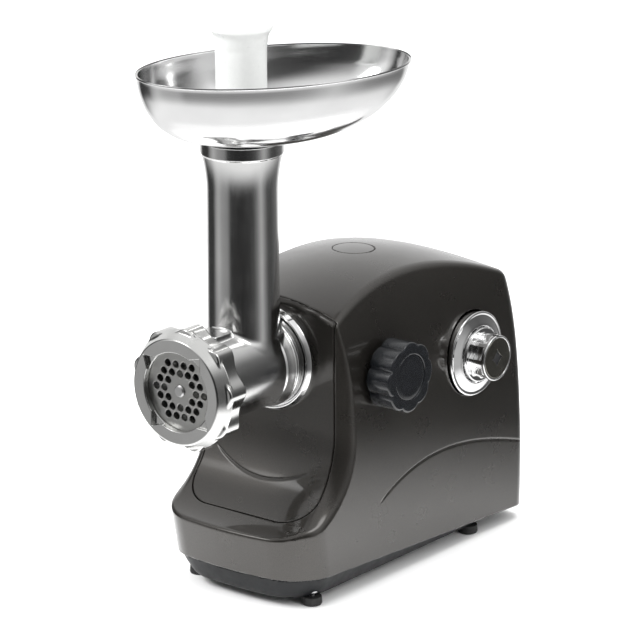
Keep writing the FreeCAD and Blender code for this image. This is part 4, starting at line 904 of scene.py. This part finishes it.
def direction(azimuth, elevation):
    """A unit vector out from the object, with azimuth 0 at its front."""
    return (math.sin(azimuth) * math.cos(elevation), -math.cos(azimuth) * math.cos(elevation),
            math.sin(elevation))


# What the polished parts reflect, round the studio from behind the object by way of its left:
# pale backdrop, dark gap, window, dark room behind the camera, window, dim wall, backdrop.
STUDIO = [(-180, 1.0), (-152, 0.95), (-140, 0.05), (-106, 0.04), (-95, 0.34), (-84, 0.50), (-70, 0.34),
          (-48, 0.26), (-39, 0.04), (-12, 0.025), (5, 0.025), (22, 0.04), (36, 0.07), (47, 0.18), (63, 0.50),
          (75, 0.24), (87, 0.08), (102, 0.07), (118, 0.12), (140, 0.22), (152, 0.95), (180, 1.0)]


class Studio(Surface):
    """The world, with the same helpers as a material."""

    def __init__(self):
        world = bpy.data.worlds.new("studio")
        scene.world = world
        world.use_nodes = True
        self.tree = world.node_tree
        self.place = self.node("ShaderNodeTexCoord").outputs["Generated"]

    def maths(self, operation, first, second):
        made = self.node("ShaderNodeMath", operation=operation)
        for socket, value in zip(made.inputs, (first, second)):
            if isinstance(value, float):
                socket.default_value = value
            else:
                self.link(value, socket)
        return made.outputs[0]

    def step(self, source, low, high):
        made = self.node("ShaderNodeMapRange", interpolation_type="SMOOTHSTEP")
        made.inputs["From Min"].default_value, made.inputs["From Max"].default_value = low, high
        self.link(source, made.inputs["Value"])
        return made.outputs["Result"]

    def blend(self, factor, first, second):
        """first where the factor is 0, second where it is 1."""
        there = self.maths("MULTIPLY", self.maths("SUBTRACT", second, first), factor)
        return self.maths("ADD", first, there)


studio = Studio()
spin = studio.node("ShaderNodeVectorRotate", rotation_type="Z_AXIS", Angle=-AZIMUTH)
studio.link(studio.place, spin.inputs["Vector"])
parts = studio.node("ShaderNodeSeparateXYZ")
studio.link(spin.outputs["Vector"], parts.inputs["Vector"])
toward = studio.maths("MULTIPLY", parts.outputs["Y"], -1.0)
round_about = studio.maths("ARCTAN2", parts.outputs["X"], toward)
fraction = studio.maths("ADD", studio.maths("MULTIPLY", round_about, 0.5 / math.pi), 0.5)
walls = studio.ramp(fraction, [((at + 180) / 360.0, (level, level, level)) for at, level in STUDIO])
brighter = studio.maths("ADD", studio.maths("MULTIPLY", studio.step(parts.outputs["Z"], -0.1, 0.6), 1.6), 1.0)
walls = studio.maths("MINIMUM", studio.maths("MULTIPLY", walls, brighter), 1.0)
upper = studio.blend(studio.step(parts.outputs["Z"], 0.34, 0.85), walls, 0.95)
whole = studio.blend(studio.step(studio.maths("MULTIPLY", parts.outputs["Z"], -1.0), 0.36, 0.64), upper, 1.05)


def window(azimuth, elevation, inner, outer, strength):
    """A soft round lamp at a direction in the camera's frame."""
    near = studio.node("ShaderNodeVectorMath", operation="DOT_PRODUCT")
    near.inputs[1].default_value = direction(math.radians(azimuth), math.radians(elevation))
    studio.link(spin.outputs["Vector"], near.inputs[0])
    reach = studio.step(near.outputs["Value"], math.cos(math.radians(outer)), math.cos(math.radians(inner)))
    return studio.maths("MULTIPLY", reach, strength)


whole = studio.maths("ADD", whole, window(-75.0, 42.0, 7.0, 13.0, 5.0))
whole = studio.maths("ADD", whole, window(60.0, 50.0, 8.0, 14.0, 4.0))
background = studio.tree.nodes["Background"]
studio.link(whole, background.inputs["Color"])
background.inputs["Strength"].default_value = 1.0

scene.view_settings.view_transform = "Standard"

# The camera stands far off. It looks along the view direction at a point beside and above the plate.
DISTANCE, AIM_RIGHT, AIM_UP = 2661.52, 88.163, 52.232
back = Vector(direction(AZIMUTH, ELEVATION))
level = Vector((math.cos(AZIMUTH), math.sin(AZIMUTH), 0.0))
above = back.cross(level)
right = level * math.cos(ROLL) + above * math.sin(ROLL)
up = above * math.cos(ROLL) - level * math.sin(ROLL)
eye = Vector((0.0, PLATE_Y, HEAD_Z)) + back * DISTANCE + right * AIM_RIGHT + up * AIM_UP
camera_data = bpy.data.cameras.new("camera")
camera_data.sensor_width = 36.0
camera_data.lens = 230.4
camera_data.clip_start, camera_data.clip_end = 0.1, 50.0
camera = bpy.data.objects.new("camera", camera_data)
turn = Matrix((right, up, back)).transposed()
camera.matrix_world = Matrix.Translation(Vector(row(eye))) @ turn.to_4x4()
scene.collection.objects.link(camera)
scene.camera = camera
